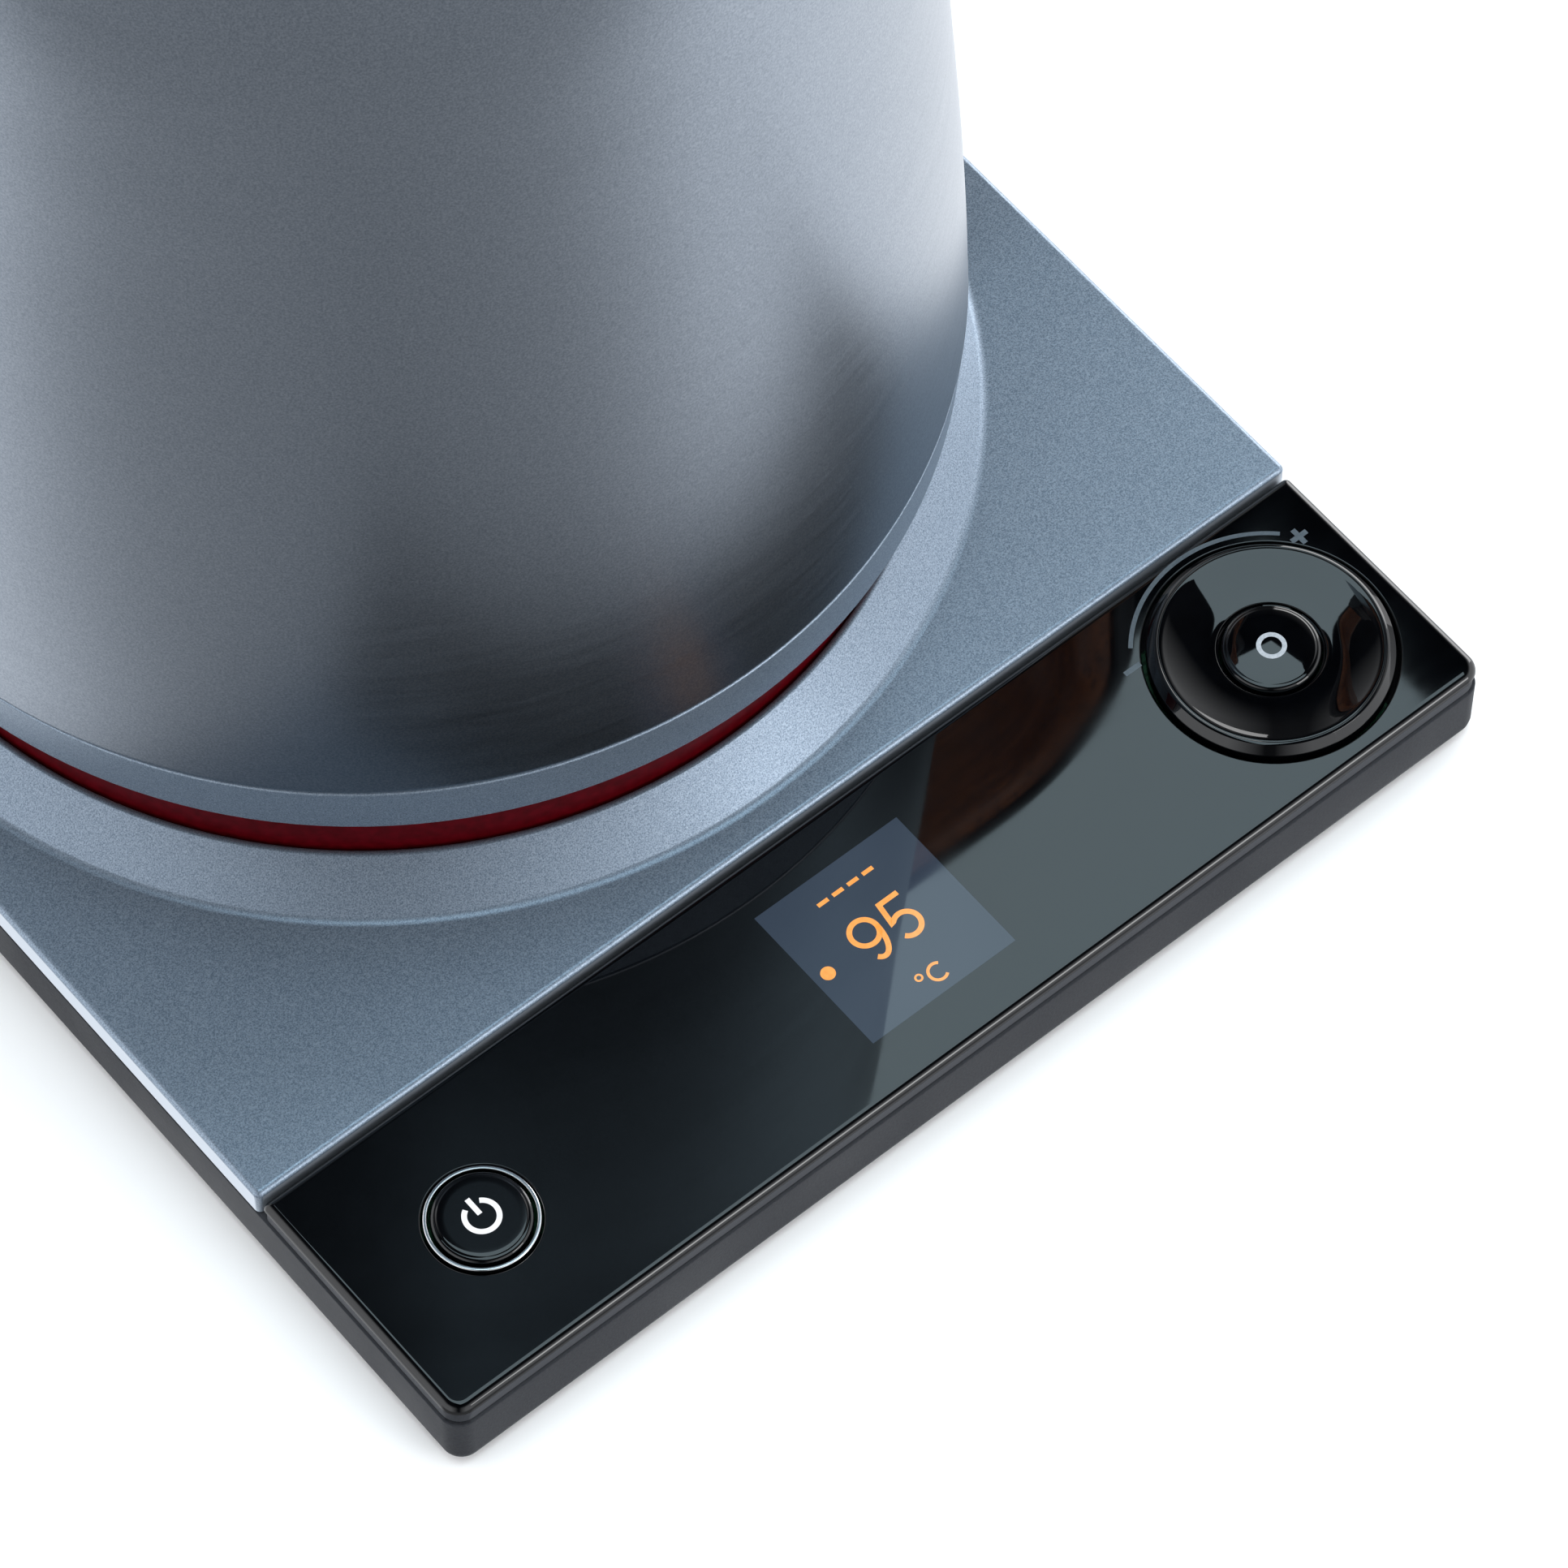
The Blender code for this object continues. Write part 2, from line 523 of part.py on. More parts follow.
def kettle_bottom(mats):
    """Foot ring, underside cover, water-side plate, element, probe and connector."""
    slope_r = body_radius(SHELL_Z)
    revolve("foot_ring", [
        (0.0736, FOOT_RING_Z + 0.0004), (0.0762, FOOT_RING_Z), (0.0766, FOOT_RING_Z + 0.0005),
        (slope_r - 0.0001, SHELL_Z - 0.0006), (slope_r - 0.0004, SHELL_Z - SEAM),
        (0.0736, SHELL_Z - SEAM)], AXIS, mats["paint"], FINE)
    revolve("bottom_cover", [
        (0.0160, 0.0320), (0.0664, 0.0320), (0.0672, SEAT_TOP + SEAM), (0.0712, SEAT_TOP + SEAM),
        (0.0728, 0.0320), (0.0733, 0.0345), (0.0733, 0.0360), (0.0690, 0.0360), (0.0680, 0.0340),
        (0.0160, 0.0340)], AXIS, mats["black"])
    plate_r = body_radius(SHELL_Z) - SHELL_WALL - 0.0006
    water_plate = revolve("heater_plate", [(0, 0.0452), (plate_r, 0.0452), (plate_r, 0.0460),
                                           (0, 0.0460)], AXIS, mats["bright"])
    probe_at = from_axis(0.022)
    way = revolve("probe_way", [(0, 0.040), (0.0034, 0.040), (0.0034, 0.050), (0, 0.050)],
                  probe_at, steps=TINY)
    boolean(water_plate, way)
    diffuser = revolve("diffuser_plate", [(0, 0.0434), (0.060, 0.0434), (0.060, 0.0449),
                                          (0, 0.0449)], AXIS, mats["alloy"])
    boolean(diffuser, way)
    tube = [(0.048 + 0.0032 * math.cos(math.radians(a)), 0.0399 + 0.0032 * math.sin(math.radians(a)))
            for a in range(0, 360, 45)]
    element = revolve("heating_element", tube, AXIS, mats["alloy"], 32)
    gap = block("element_gap", from_axis(0.048), (0.02, 0.008, 0.012), 0.034)
    boolean(element, gap)
    revolve("probe_seal", [(0.0022, 0.0450), (0.0031, 0.0450), (0.0031, 0.0463), (0.0048, 0.0463),
                           (0.0048, 0.0474), (0.0022, 0.0474)], probe_at, mats["red"], TINY)
    revolve("temperature_probe", [(0, 0.0375), (0.0019, 0.0375), (0.0019, 0.0570),
                                  (0.0012, 0.0580), (0, 0.0582)], probe_at, mats["bright"], TINY)
    block("thermal_cutout", from_axis(-0.030), (0.020, 0.024, 0.0078), 0.0345, mats["black"])
    revolve("kettle_connector", [
        (0.0064, 0.0185), (0.0120, 0.0175), (0.0138, 0.0190), (0.0138, 0.0300), (0.0157, 0.0310),
        (0.0157, 0.0400), (0, 0.0400), (0, 0.0310), (0.0064, 0.0310)], AXIS, mats["black"])
    revolve("connector_contact", [(0.0029, 0.0225), (0.0036, 0.0225), (0.0036, 0.0306),
                                  (0.0029, 0.0306)], AXIS, mats["brass"], SMALL)


def lid_collar(mats):
    """Moulded rim of the kettle: an outer band, a spigot inside the shell, the mouth."""
    spigot_r = body_radius(SHELL_TOP) - SHELL_WALL - SEAM
    collar = revolve("lid_collar", [
        (MOUTH_R, 0.1765), (spigot_r, 0.1765), (spigot_r, SHELL_TOP + SEAM),
        *body_outline(SHELL_TOP + SEAM, COLLAR_TOP), (MOUTH_R, COLLAR_TOP)],
        AXIS, mats["paint"], FINE)
    return boolean(collar, spout_loft("collar_mouth_cut", -SPOUT_WALL, MOUTH_CUT_TOP))


def lid_cover(mats):
    low = COLLAR_TOP + SEAM
    outside = body_outline(low, LID_TOP)
    inside = [(max(r - 0.0018, 0), z - 0.0016) for r, z in outside[1:]]
    cover = revolve("lid_cover", [*outside, *inside[::-1], (inside[0][0], low)],
                    AXIS, mats["steel"], FINE)
    behind = block("behind_lid", from_axis(LID_CUT_X + 0.03), (0.06, 0.15, 0.05), 0.19)
    boolean(cover, behind)
    rear_wall = block("lid_rear_wall", from_axis(LID_CUT_X - 0.0008), (0.0022, 0.084, 0.0110),
                      low, edge=0.0002)
    boolean(cover, rear_wall, "UNION")
    knuckle = rod("lid_knuckle", from_axis(PIVOT_X, -0.0088, PIVOT_Z),
                  from_axis(PIVOT_X, 0.0088, PIVOT_Z), 0.0040)
    boolean(cover, knuckle, "UNION")
    strap = block("lid_strap", from_axis((LID_CUT_X + PIVOT_X) / 2 - 0.002), (0.0135, 0.0150, 0.0052),
                  PIVOT_Z - 0.0036)
    boolean(cover, strap, "UNION")
    pin_way = rod("lid_pin_way", from_axis(PIVOT_X, -0.012, PIVOT_Z),
                  from_axis(PIVOT_X, 0.012, PIVOT_Z), 0.0019, steps=TINY)
    boolean(cover, pin_way)
    keeper = block("lid_keeper", from_axis(LID_CUT_X), (0.006, 0.0074, 0.0044), LATCH_Z - 0.0022)
    boolean(cover, keeper)
    return cover


def lid(mats):
    cover = lid_cover(mats)
    liner = revolve("lid_inner", [
        (0, LINER_Z), (LINER_R - 0.0015, LINER_Z), (LINER_R, LINER_Z + 0.0015), (LINER_R, LINER_FLANGE_Z),
        (LINER_FLANGE_R, LINER_FLANGE_Z), (LINER_FLANGE_R, COLLAR_TOP - SEAM), (0, COLLAR_TOP - SEAM)],
        AXIS, mats["black"], FINE)
    swing_room = block("liner_swing_room", from_axis(LID_CUT_X + 0.015), (0.03, 0.13, 0.01), 0.1943)
    boolean(liner, swing_room)
    seal = revolve("lid_seal", [(0.0573, 0.1917), (0.0600, 0.1922), (0.0606, 0.1930),
                                (0.0600, 0.1938), (0.0573, 0.1942)], AXIS, mats["rubber"], FINE)
    pin = rod("hinge_pin", from_axis(PIVOT_X, -0.0135, PIVOT_Z),
              from_axis(PIVOT_X, 0.0135, PIVOT_Z), 0.0015, mats["bright"], TINY)
    return pivot("lid_axis", from_axis(PIVOT_X, 0, PIVOT_Z), [cover, liner, seal]), pin


def handle_root(low):
    """Gusset that carries the handle: tall over the hinge, tapering up to the grip's section."""
    top, corner = HANDLE_TOP, 0.0030
    sections = []
    for x, half, foot in ((0.0532, 0.0130, low), (0.0680, 0.0122, low + 0.0010),
                          (0.0740, 0.0108, low + 0.0105), (0.0782, HANDLE_W / 2, top - HANDLE_T)):
        outline = rounded_rect(-half, half, foot, top, [0.0012, 0.0012, corner, corner], 0, 3)
        sections.append([from_axis(x, y, z) for y, z, _ in outline])
    return loft("handle_root", sections)


def hinge_housing(mats):
    """Rear part of the dome behind the lid, with the root of the handle standing on it."""
    low = COLLAR_TOP + SEAM
    housing = revolve("hinge_housing", [*body_outline(low, LID_TOP), (0, low)],
                      AXIS, mats["black"], FINE)
    before = block("before_housing", from_axis(LID_CUT_X + 0.0010 - 0.08), (0.16, 0.16, 0.05), 0.18)
    boolean(housing, before)
    boolean(housing, handle_root(low + 0.0011), "UNION")
    cheeks = rod("hinge_cheeks", from_axis(PIVOT_X, -0.0127, PIVOT_Z),
                 from_axis(PIVOT_X, 0.0127, PIVOT_Z), 0.0047)
    boolean(housing, cheeks, "UNION")
    sweep = rod("knuckle_room", from_axis(PIVOT_X, -0.0092, PIVOT_Z),
                from_axis(PIVOT_X, 0.0092, PIVOT_Z), 0.0046)
    boolean(housing, sweep)
    strap_room = block("strap_room", from_axis(PIVOT_X - 0.004), (0.0130, 0.0186, 0.020),
                       PIVOT_Z - 0.0050)
    boolean(housing, strap_room)
    pin_way = rod("housing_pin_way", from_axis(PIVOT_X, -0.015, PIVOT_Z),
                  from_axis(PIVOT_X, 0.015, PIVOT_Z), 0.0018, steps=TINY)
    boolean(housing, pin_way)
    boolean(housing, block("bolt_way", from_axis(0.0510), (0.030, 0.0070, 0.0042), LATCH_Z - 0.0021))
    boolean(housing, block("release_way", from_axis(RELEASE_X), (0.0130, 0.0150, 0.030), 0.2051))
    return housing


def handle_path():
    """(point, along) frames down the middle of the grip: out, round a bend, down, round, back."""
    top_z, out_x = HANDLE_TOP - HANDLE_T / 2, HANDLE_REACH - HANDLE_T / 2
    bend, foot_bend = HANDLE_BEND, HANDLE_FOOT_BEND
    frames = [((HANDLE_START_X, top_z), 0.0)]
    for i in range(7):
        turn = math.radians(TOP_TURN * i / 6)
        frames.append(((out_x - bend + bend * math.sin(turn), top_z - bend + bend * math.cos(turn)),
                       turn))
    foot_x = out_x - HANDLE_LEAN - foot_bend
    for i in range(7):
        turn = math.radians(TOP_TURN + FOOT_TURN * i / 6)
        frames.append(((foot_x + foot_bend * math.sin(turn),
                        HANDLE_FOOT_Z + foot_bend + foot_bend * math.cos(turn)), turn))
    (x, z), turn = frames[-1]
    run = (x - HANDLE_END_X) / -math.cos(turn)
    frames.append(((x + run * math.cos(turn), z - run * math.sin(turn)), turn))
    return frames


def grip_section(low, high, half, point, turn):
    """Rounded bar section across the path; low and high measure across it, outward positive."""
    corner = 0.0038 if high - low > 0.006 else 0.0028
    section = []
    for cy, ct, start in ((half - corner, high - corner, 0), (-half + corner, high - corner, 90),
                          (-half + 0.0012, low + 0.0012, 180), (half - 0.0012, low + 0.0012, 270)):
        r = corner if start < 180 else 0.0012
        for a in (0, 30, 60, 90):
            angle = math.radians(start + a)
            across = ct + r * math.sin(angle)
            section.append(from_axis(point[0] + across * math.sin(turn),
                                     cy + r * math.cos(angle),
                                     point[1] + across * math.cos(turn)))
    return section


def handle(mats):
    frames = handle_path()
    half = HANDLE_W / 2
    loft("handle_cover", [grip_section(0.0002, HANDLE_T / 2, half, p, t) for p, t in frames],
         mats["black"])
    grip = [grip_section(0.0001, HANDLE_T / 2, half - 0.0006, p, t + math.pi) for p, t in frames]
    loft("handle_grip", grip, mats["walnut"])
    x, z = frames[-1][0]
    bracket_z0, bracket_z1 = z - 0.0045, z + 0.0055
    bracket = block("handle_bracket", from_axis(0.0790), (0.0080, 0.0160, bracket_z1 - bracket_z0),
                    bracket_z0, mats["bright"])
    boolean(bracket, shell_envelope("bracket_root_cut", -SEAM, 0.05, 0.15))
    for i, y in enumerate((-0.0045, 0.0045), 1):
        rod(f"handle_screw_{i}", from_axis(0.0700, y, z + 0.0005), from_axis(0.0830, y, z + 0.0005),
            0.0012, mats["bright"], 12)
        way = rod(f"handle_screw_way_{i}", from_axis(0.0600, y, z + 0.0005),
                  from_axis(0.0832, y, z + 0.0005), 0.0015, steps=12)
        boolean(bracket, way)
        boolean(bpy.data.objects["kettle_shell"], way)


def lid_release(mats):
    """Button on the handle root, the bolt it draws back and its return spring."""
    button = block("lid_release", from_axis(RELEASE_X), (0.0122, 0.0142, 0.0190), 0.2115,
                   mats["gloss"], edge=0.0008)
    bolt = block("latch_bolt", from_axis(BOLT_X), (0.0200, 0.0062, 0.0034), LATCH_Z - 0.0017,
                 mats["bright"])
    spring = coil("release_spring", from_axis(RELEASE_X, 0, 0.2061), 0.0032, 0.0004, 0.0046, 3,
                  (0, 0, 1), mats["bright"])
    pivot("release_axis", from_axis(RELEASE_X, 0, 0.2305), [button])
    pivot("bolt_axis", from_axis(BOLT_X, 0, LATCH_Z), [bolt])
    return spring


def build():
    clear_scene()
    mats = materials()
    base_tray(mats)
    top_cover(mats)
    panel_carrier(mats)
    control_panel(mats)
    power_trim_ring(mats)
    base_electronics(mats)
    base_connector(mats)
    inlet_gland(mats)
    feet_and_screws(mats)
    temperature_dial(mats)
    push_cap("dial_button", DIAL_AT, DIAL_BUTTON_R, DIAL_BUTTON_TOP_R, 0.0158, 0.0002, 0.0006, mats)
    push_cap("power_button", POWER_AT, POWER_CAP_R, POWER_TOP_R, 0.0155, 0.0, 0.0009, mats)
    seat_ring(mats)
    kettle_shell(mats)
    kettle_bottom(mats)
    spout(mats)
    spout_filter(mats)
    lid_collar(mats)
    lid(mats)
    hinge_housing(mats)
    handle(mats)
    lid_release(mats)


build()
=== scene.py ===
import json
import math

import bmesh
import bpy
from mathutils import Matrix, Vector


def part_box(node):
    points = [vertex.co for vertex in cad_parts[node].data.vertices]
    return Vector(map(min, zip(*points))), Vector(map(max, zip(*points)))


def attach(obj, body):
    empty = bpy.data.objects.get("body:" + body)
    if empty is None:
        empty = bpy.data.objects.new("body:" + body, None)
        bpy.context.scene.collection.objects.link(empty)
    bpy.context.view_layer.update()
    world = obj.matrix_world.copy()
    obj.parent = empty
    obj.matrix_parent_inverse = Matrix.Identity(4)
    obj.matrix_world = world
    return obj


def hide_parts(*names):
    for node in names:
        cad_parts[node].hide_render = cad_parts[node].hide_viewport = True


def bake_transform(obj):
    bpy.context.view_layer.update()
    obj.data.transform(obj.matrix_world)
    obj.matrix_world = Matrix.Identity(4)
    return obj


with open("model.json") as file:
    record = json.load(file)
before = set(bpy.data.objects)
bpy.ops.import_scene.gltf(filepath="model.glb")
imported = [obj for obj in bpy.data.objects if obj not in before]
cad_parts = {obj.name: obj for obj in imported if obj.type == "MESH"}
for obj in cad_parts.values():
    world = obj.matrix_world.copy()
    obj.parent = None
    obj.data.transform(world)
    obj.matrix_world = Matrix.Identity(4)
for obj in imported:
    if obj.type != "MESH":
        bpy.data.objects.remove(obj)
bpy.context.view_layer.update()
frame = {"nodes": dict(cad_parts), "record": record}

SLOT_OF = {row["node"]: row["material_slot"] for row in frame["record"]["subparts"]}
BODY_OF = {node: body for body, nodes in frame["record"]["behaviour"]["bodies"].items()
           for node in nodes}

# --- sizes in metres, read from the frame where it has them -----------------
MM = 0.001


def centre_of(node):
    low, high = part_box(node)
    return (low + high) / 2


def plan_of(node):
    """The point on the table under the middle of a node."""
    middle = centre_of(node)
    return Vector((middle.x, middle.y, 0))


def heights_of(node):
    low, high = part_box(node)
    return low.z, high.z


def top_of(node):
    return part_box(node)[1].z


def span_of(node):
    low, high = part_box(node)
    return low.x, high.x, low.y, high.y


AXIS = plan_of("foot_ring")           # the kettle's upright axis
DIAL_AT, POWER_AT = plan_of("temperature_dial"), plan_of("power_button")
DISPLAY_AT = plan_of("display_module")
PLATE_Z = top_of("panel_carrier") + 2.65 * MM
PANEL_Z = top_of("control_panel")
TRAY_TOP = top_of("base_tray")
SEAM = 0.3 * MM
CORNER_R, INNER_CORNER_R = 2.9 * MM, 0.9 * MM
PLINTH_R, PLINTH_H = 80.6 * MM, 5.7 * MM
RECESS_R, RECESS_Z = 72.3 * MM, 18.7 * MM
RECESS_ROWS = (71.0, 66.0, 55.0, 42.0, 30.0, 22.0, 20.2, 12.0)  # rings of its floor, in millimetres
DISPLAY_SIDE = 22.6 * MM

# Outside of the kettle, radius by height.
BODY_CURVE = (
    (0.0429, 0.0773), (0.0580, 0.0767), (0.0725, 0.0759), (0.1005, 0.0739), (0.1205, 0.0723),
    (0.1395, 0.0708), (0.1595, 0.0695), (0.1805, 0.0679), (0.1960, 0.0651), (0.2050, 0.0620),
    (0.2120, 0.0580), (0.2175, 0.0520), (0.2215, 0.0430), (0.2245, 0.0290), (0.2260, 0.0),
)
SPOUT_REACH = AXIS.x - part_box("spout")[0].x
SPOUT_ROOT, SPOUT_WALL = 40 * MM, 1.4 * MM
MOUTH_CUT_TOP = 200.5 * MM            # flat top of the notch that the spout leaves by
MOUTH_R = 61 * MM
LID_CUT_X = 42 * MM                   # the lid ends here, in front of the hinge housing
PIVOT_X = centre_of("hinge_pin").x - AXIS.x
PIVOT_Z = centre_of("hinge_pin").z
LATCH_Z = centre_of("latch_bolt").z
FOOT_DROP = 1.87 * MM                 # how far the handle's foot still falls towards the body
GRIP_T = 13 * MM                      # thickness of the handle's two layers together
AROUND = 160          # steps round the kettle and the plinth
AROUND_SMALL = 96     # steps round the dial and the buttons
DOME_ROWS = 60        # rows up the domed top
TIGHTEST_R = 0.15 * MM                # an inset plate's corners get no sharper than this


# --- mesh helpers ---------------------------------------------------------
def new_object(name, bm):
    bmesh.ops.remove_doubles(bm, verts=bm.verts, dist=1e-6)
    bmesh.ops.recalc_face_normals(bm, faces=bm.faces)
    mesh = bpy.data.meshes.new(name)
    bm.to_mesh(mesh)
    bm.free()
    made = bpy.data.objects.new(name, mesh)
    bpy.context.scene.collection.objects.link(made)
    return made


def filleted(corners, steps=5):
    """Outline through (a, b, fillet radius) corners, with each corner rounded by that radius."""
    points = []
    count = len(corners)
    for i, (x, y, radius) in enumerate(corners):
        here = Vector((x, y))
        before = Vector(corners[i - 1][:2]) - here
        after = Vector(corners[(i + 1) % count][:2]) - here
        if radius <= 0 or before.length < 1e-9 or after.length < 1e-9:
            points.append((x, y))
            continue
        half = before.angle(after) / 2
        if half > math.radians(89):
            points.append((x, y))
            continue
        reach = min(radius / math.tan(half), before.length * 0.48, after.length * 0.48)
        radius = reach * math.tan(half)
        middle = here + (before.normalized() + after.normalized()).normalized() * radius / math.sin(half)
        start, end = here + before.normalized() * reach, here + after.normalized() * reach
        for k in range(steps + 1):
            share = k / steps
            along = (start - middle).lerp(end - middle, share)
            points.append(tuple(middle + along.normalized() * radius))
    return points


def lathe(name, outline, centre, steps=AROUND):
    """A solid of revolution about a vertical line through centre; outline is closed (radius, z)."""
    bm = bmesh.new()
    rings = []
    for radius, z in outline:
        if radius < 1e-6:
            rings.append([bm.verts.new((centre.x, centre.y, z))])
            continue
        rings.append([bm.verts.new((centre.x + radius * math.cos(2 * math.pi * i / steps),
                                    centre.y + radius * math.sin(2 * math.pi * i / steps), z))
                      for i in range(steps)])
    for a, b in zip(rings, rings[1:] + rings[:1]):
        for i in range(steps):
            j = (i + 1) % steps
            corners = [a[i % len(a)], a[j % len(a)], b[j % len(b)], b[i % len(b)]]
            face = list(dict.fromkeys(corners))
            if len(face) > 2:
                bm.faces.new(face)
    return new_object(name, bm)


def upright(name, at, radius, z0, z1, steps=64):
    """A plain cylinder about a vertical line through at."""
    return lathe(name, [(0, z0), (radius, z0), (radius, z1), (0, z1)], at, steps)


def loft(name, sections):
    """A solid through closed sections with the same number of points."""
    bm = bmesh.new()
    loops = [[bm.verts.new(point) for point in section] for section in sections]
    for a, b in zip(loops, loops[1:]):
        for i in range(len(a)):
            j = (i + 1) % len(a)
            bm.faces.new((a[i], a[j], b[j], b[i]))
    bm.faces.new(loops[0][::-1])
    bm.faces.new(loops[-1])
    return new_object(name, bm)


def rounded_rect(span, radii, z, steps=10):
    """Outline at height z; radii are for the (x0,y0), (x1,y0), (x1,y1), (x0,y1) corners."""
    x0, x1, y0, y1 = span
    points = []
    for k, (x, y, sx, sy) in enumerate(((x0, y0, 1, 1), (x1, y0, -1, 1), (x1, y1, -1, -1),
                                        (x0, y1, 1, -1))):
        for i in range(steps + 1):
            turn = math.radians(180 + 90 * k + 90 * i / steps)
            points.append((x + sx * radii[k] + radii[k] * math.cos(turn),
                           y + sy * radii[k] + radii[k] * math.sin(turn), z))
    return points


def inset(span, by):
    return span[0] + by, span[1] - by, span[2] + by, span[3] - by


def plate(name, span, radii, layers):
    """A rounded plate through (inset, z) layers, closed over the first and the last."""
    return loft(name, [rounded_rect(inset(span, i), [max(r - i, TIGHTEST_R) for r in radii], z)
                       for i, z in layers])


def rolled(radius, top, steps=8):
    """(inset, z) layers of an edge that rolls over onto a flat top."""
    return [(radius * (1 - math.cos(math.radians(90 * k / steps))),
             top - radius * (1 - math.sin(math.radians(90 * k / steps)))) for k in range(steps + 1)]


def rod(name, start, end, radius, steps=32):
    """A cylinder from start to end."""
    start, end = Vector(start), Vector(end)
    turn = (end - start).to_track_quat("Z", "Y").to_matrix()
    ring = [turn @ Vector((radius * math.cos(2 * math.pi * i / steps),
                           radius * math.sin(2 * math.pi * i / steps), 0)) for i in range(steps)]
    return loft(name, [[start + p for p in ring], [end + p for p in ring]])


def cross_rod(name, half, radius, steps):
    """A rod along the hinge's line, as far as half to either side of the middle."""
    return rod(name, from_axis(PIVOT_X, -half, PIVOT_Z), from_axis(PIVOT_X, half, PIVOT_Z), radius, steps)


def combine(target, tools, operation="DIFFERENCE"):
    """Cuts or joins the tools, in order, and removes them."""
    for tool in tools:
        made = target.modifiers.new("step", "BOOLEAN")
        made.object = tool
        made.operation = operation
        made.solver = "EXACT"
        bpy.context.view_layer.update()
        graph = bpy.context.evaluated_depsgraph_get()
        mesh = bpy.data.meshes.new_from_object(target.evaluated_get(graph))
        target.modifiers.clear()
        target.data = mesh
        bpy.data.objects.remove(tool, do_unlink=True)
    return target


def smooth(obj, angle=28):
    """Smooth shading up to this angle, with flat faces kept flat beside rounded edges."""
    obj.data.shade_smooth()
    obj.data.set_sharp_from_angle(angle=math.radians(angle))
    weighted = obj.modifiers.new("even_normals", "WEIGHTED_NORMAL")
    weighted.keep_sharp = True
    weighted.weight = 80
    return obj


def paint(obj, mat):
    obj.data.materials.clear()
    obj.data.materials.append(mat)
    return obj


def fine(obj, *nodes, angle=28):
    """obj stands for these CAD nodes: same body, same slot, finished surface."""
    smooth(obj, angle)
    paint(obj, FINISH[SLOT_OF[nodes[0]]])
    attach(obj, BODY_OF[nodes[0]])
    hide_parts(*nodes)
    return obj


def detail(obj, like, mat):
    """A surface detail that goes with the CAD node named by like."""
    smooth(obj, 40)
    paint(obj, mat)
    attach(obj, BODY_OF[like])
    return obj


def body_radius(z):
    """Smooth radius of the kettle at height z: a curve through BODY_CURVE, straight between its last points."""
    heights = [p[0] for p in BODY_CURVE]
    i = max(0, min(len(heights) - 2, sum(1 for h in heights if h <= z) - 1))
    (z0, r0), (z1, r1) = BODY_CURVE[i], BODY_CURVE[i + 1]

    def slope(k):
        if k <= 0 or k >= len(BODY_CURVE) - 1:
            k0, k1 = (0, 1) if k <= 0 else (-2, -1)
            return (BODY_CURVE[k1][1] - BODY_CURVE[k0][1]) / (BODY_CURVE[k1][0] - BODY_CURVE[k0][0])
        return ((BODY_CURVE[k + 1][1] - BODY_CURVE[k - 1][1])
                / (BODY_CURVE[k + 1][0] - BODY_CURVE[k - 1][0]))

    step = z1 - z0
    t = (z - z0) / step
    if i >= len(BODY_CURVE) - 4:      # the crown of the dome, where the slope runs away
        return r0 + (r1 - r0) * t
    return ((2 * t ** 3 - 3 * t ** 2 + 1) * r0 + (t ** 3 - 2 * t ** 2 + t) * step * slope(i)
            + (3 * t ** 2 - 2 * t ** 3) * r1 + (t ** 3 - t ** 2) * step * slope(i + 1))


def body_outline(z0, z1, by=0.0, steps=24):
    """(radius, z) points up the body between two heights, moved inward by this much."""
    return [(max(body_radius(z0 + (z1 - z0) * i / steps) - by, 0), z0 + (z1 - z0) * i / steps)
            for i in range(steps + 1)]


def from_axis(x, y=0.0, z=0.0):
    """The point at x and y from the kettle's axis and at height z."""
    return AXIS + Vector((x, y, z))


# --- materials ------------------------------------------------------------
def new_node(tree, kind, **sockets):
    """A shader node of this kind with its sockets set; an underscore stands for a space."""
    node = tree.nodes.new(f"ShaderNode{kind}")
    for socket, value in sockets.items():
        node.inputs[socket.replace("_", " ")].default_value = value
    return node


def ranged(tree, value, from_low, from_high, low, high):
    """value mapped from one range to another, and held at its ends."""
    node = new_node(tree, "MapRange", From_Min=from_low, From_Max=from_high, To_Min=low, To_Max=high)
    tree.links.new(value, node.inputs["Value"])
    return node.outputs["Result"]


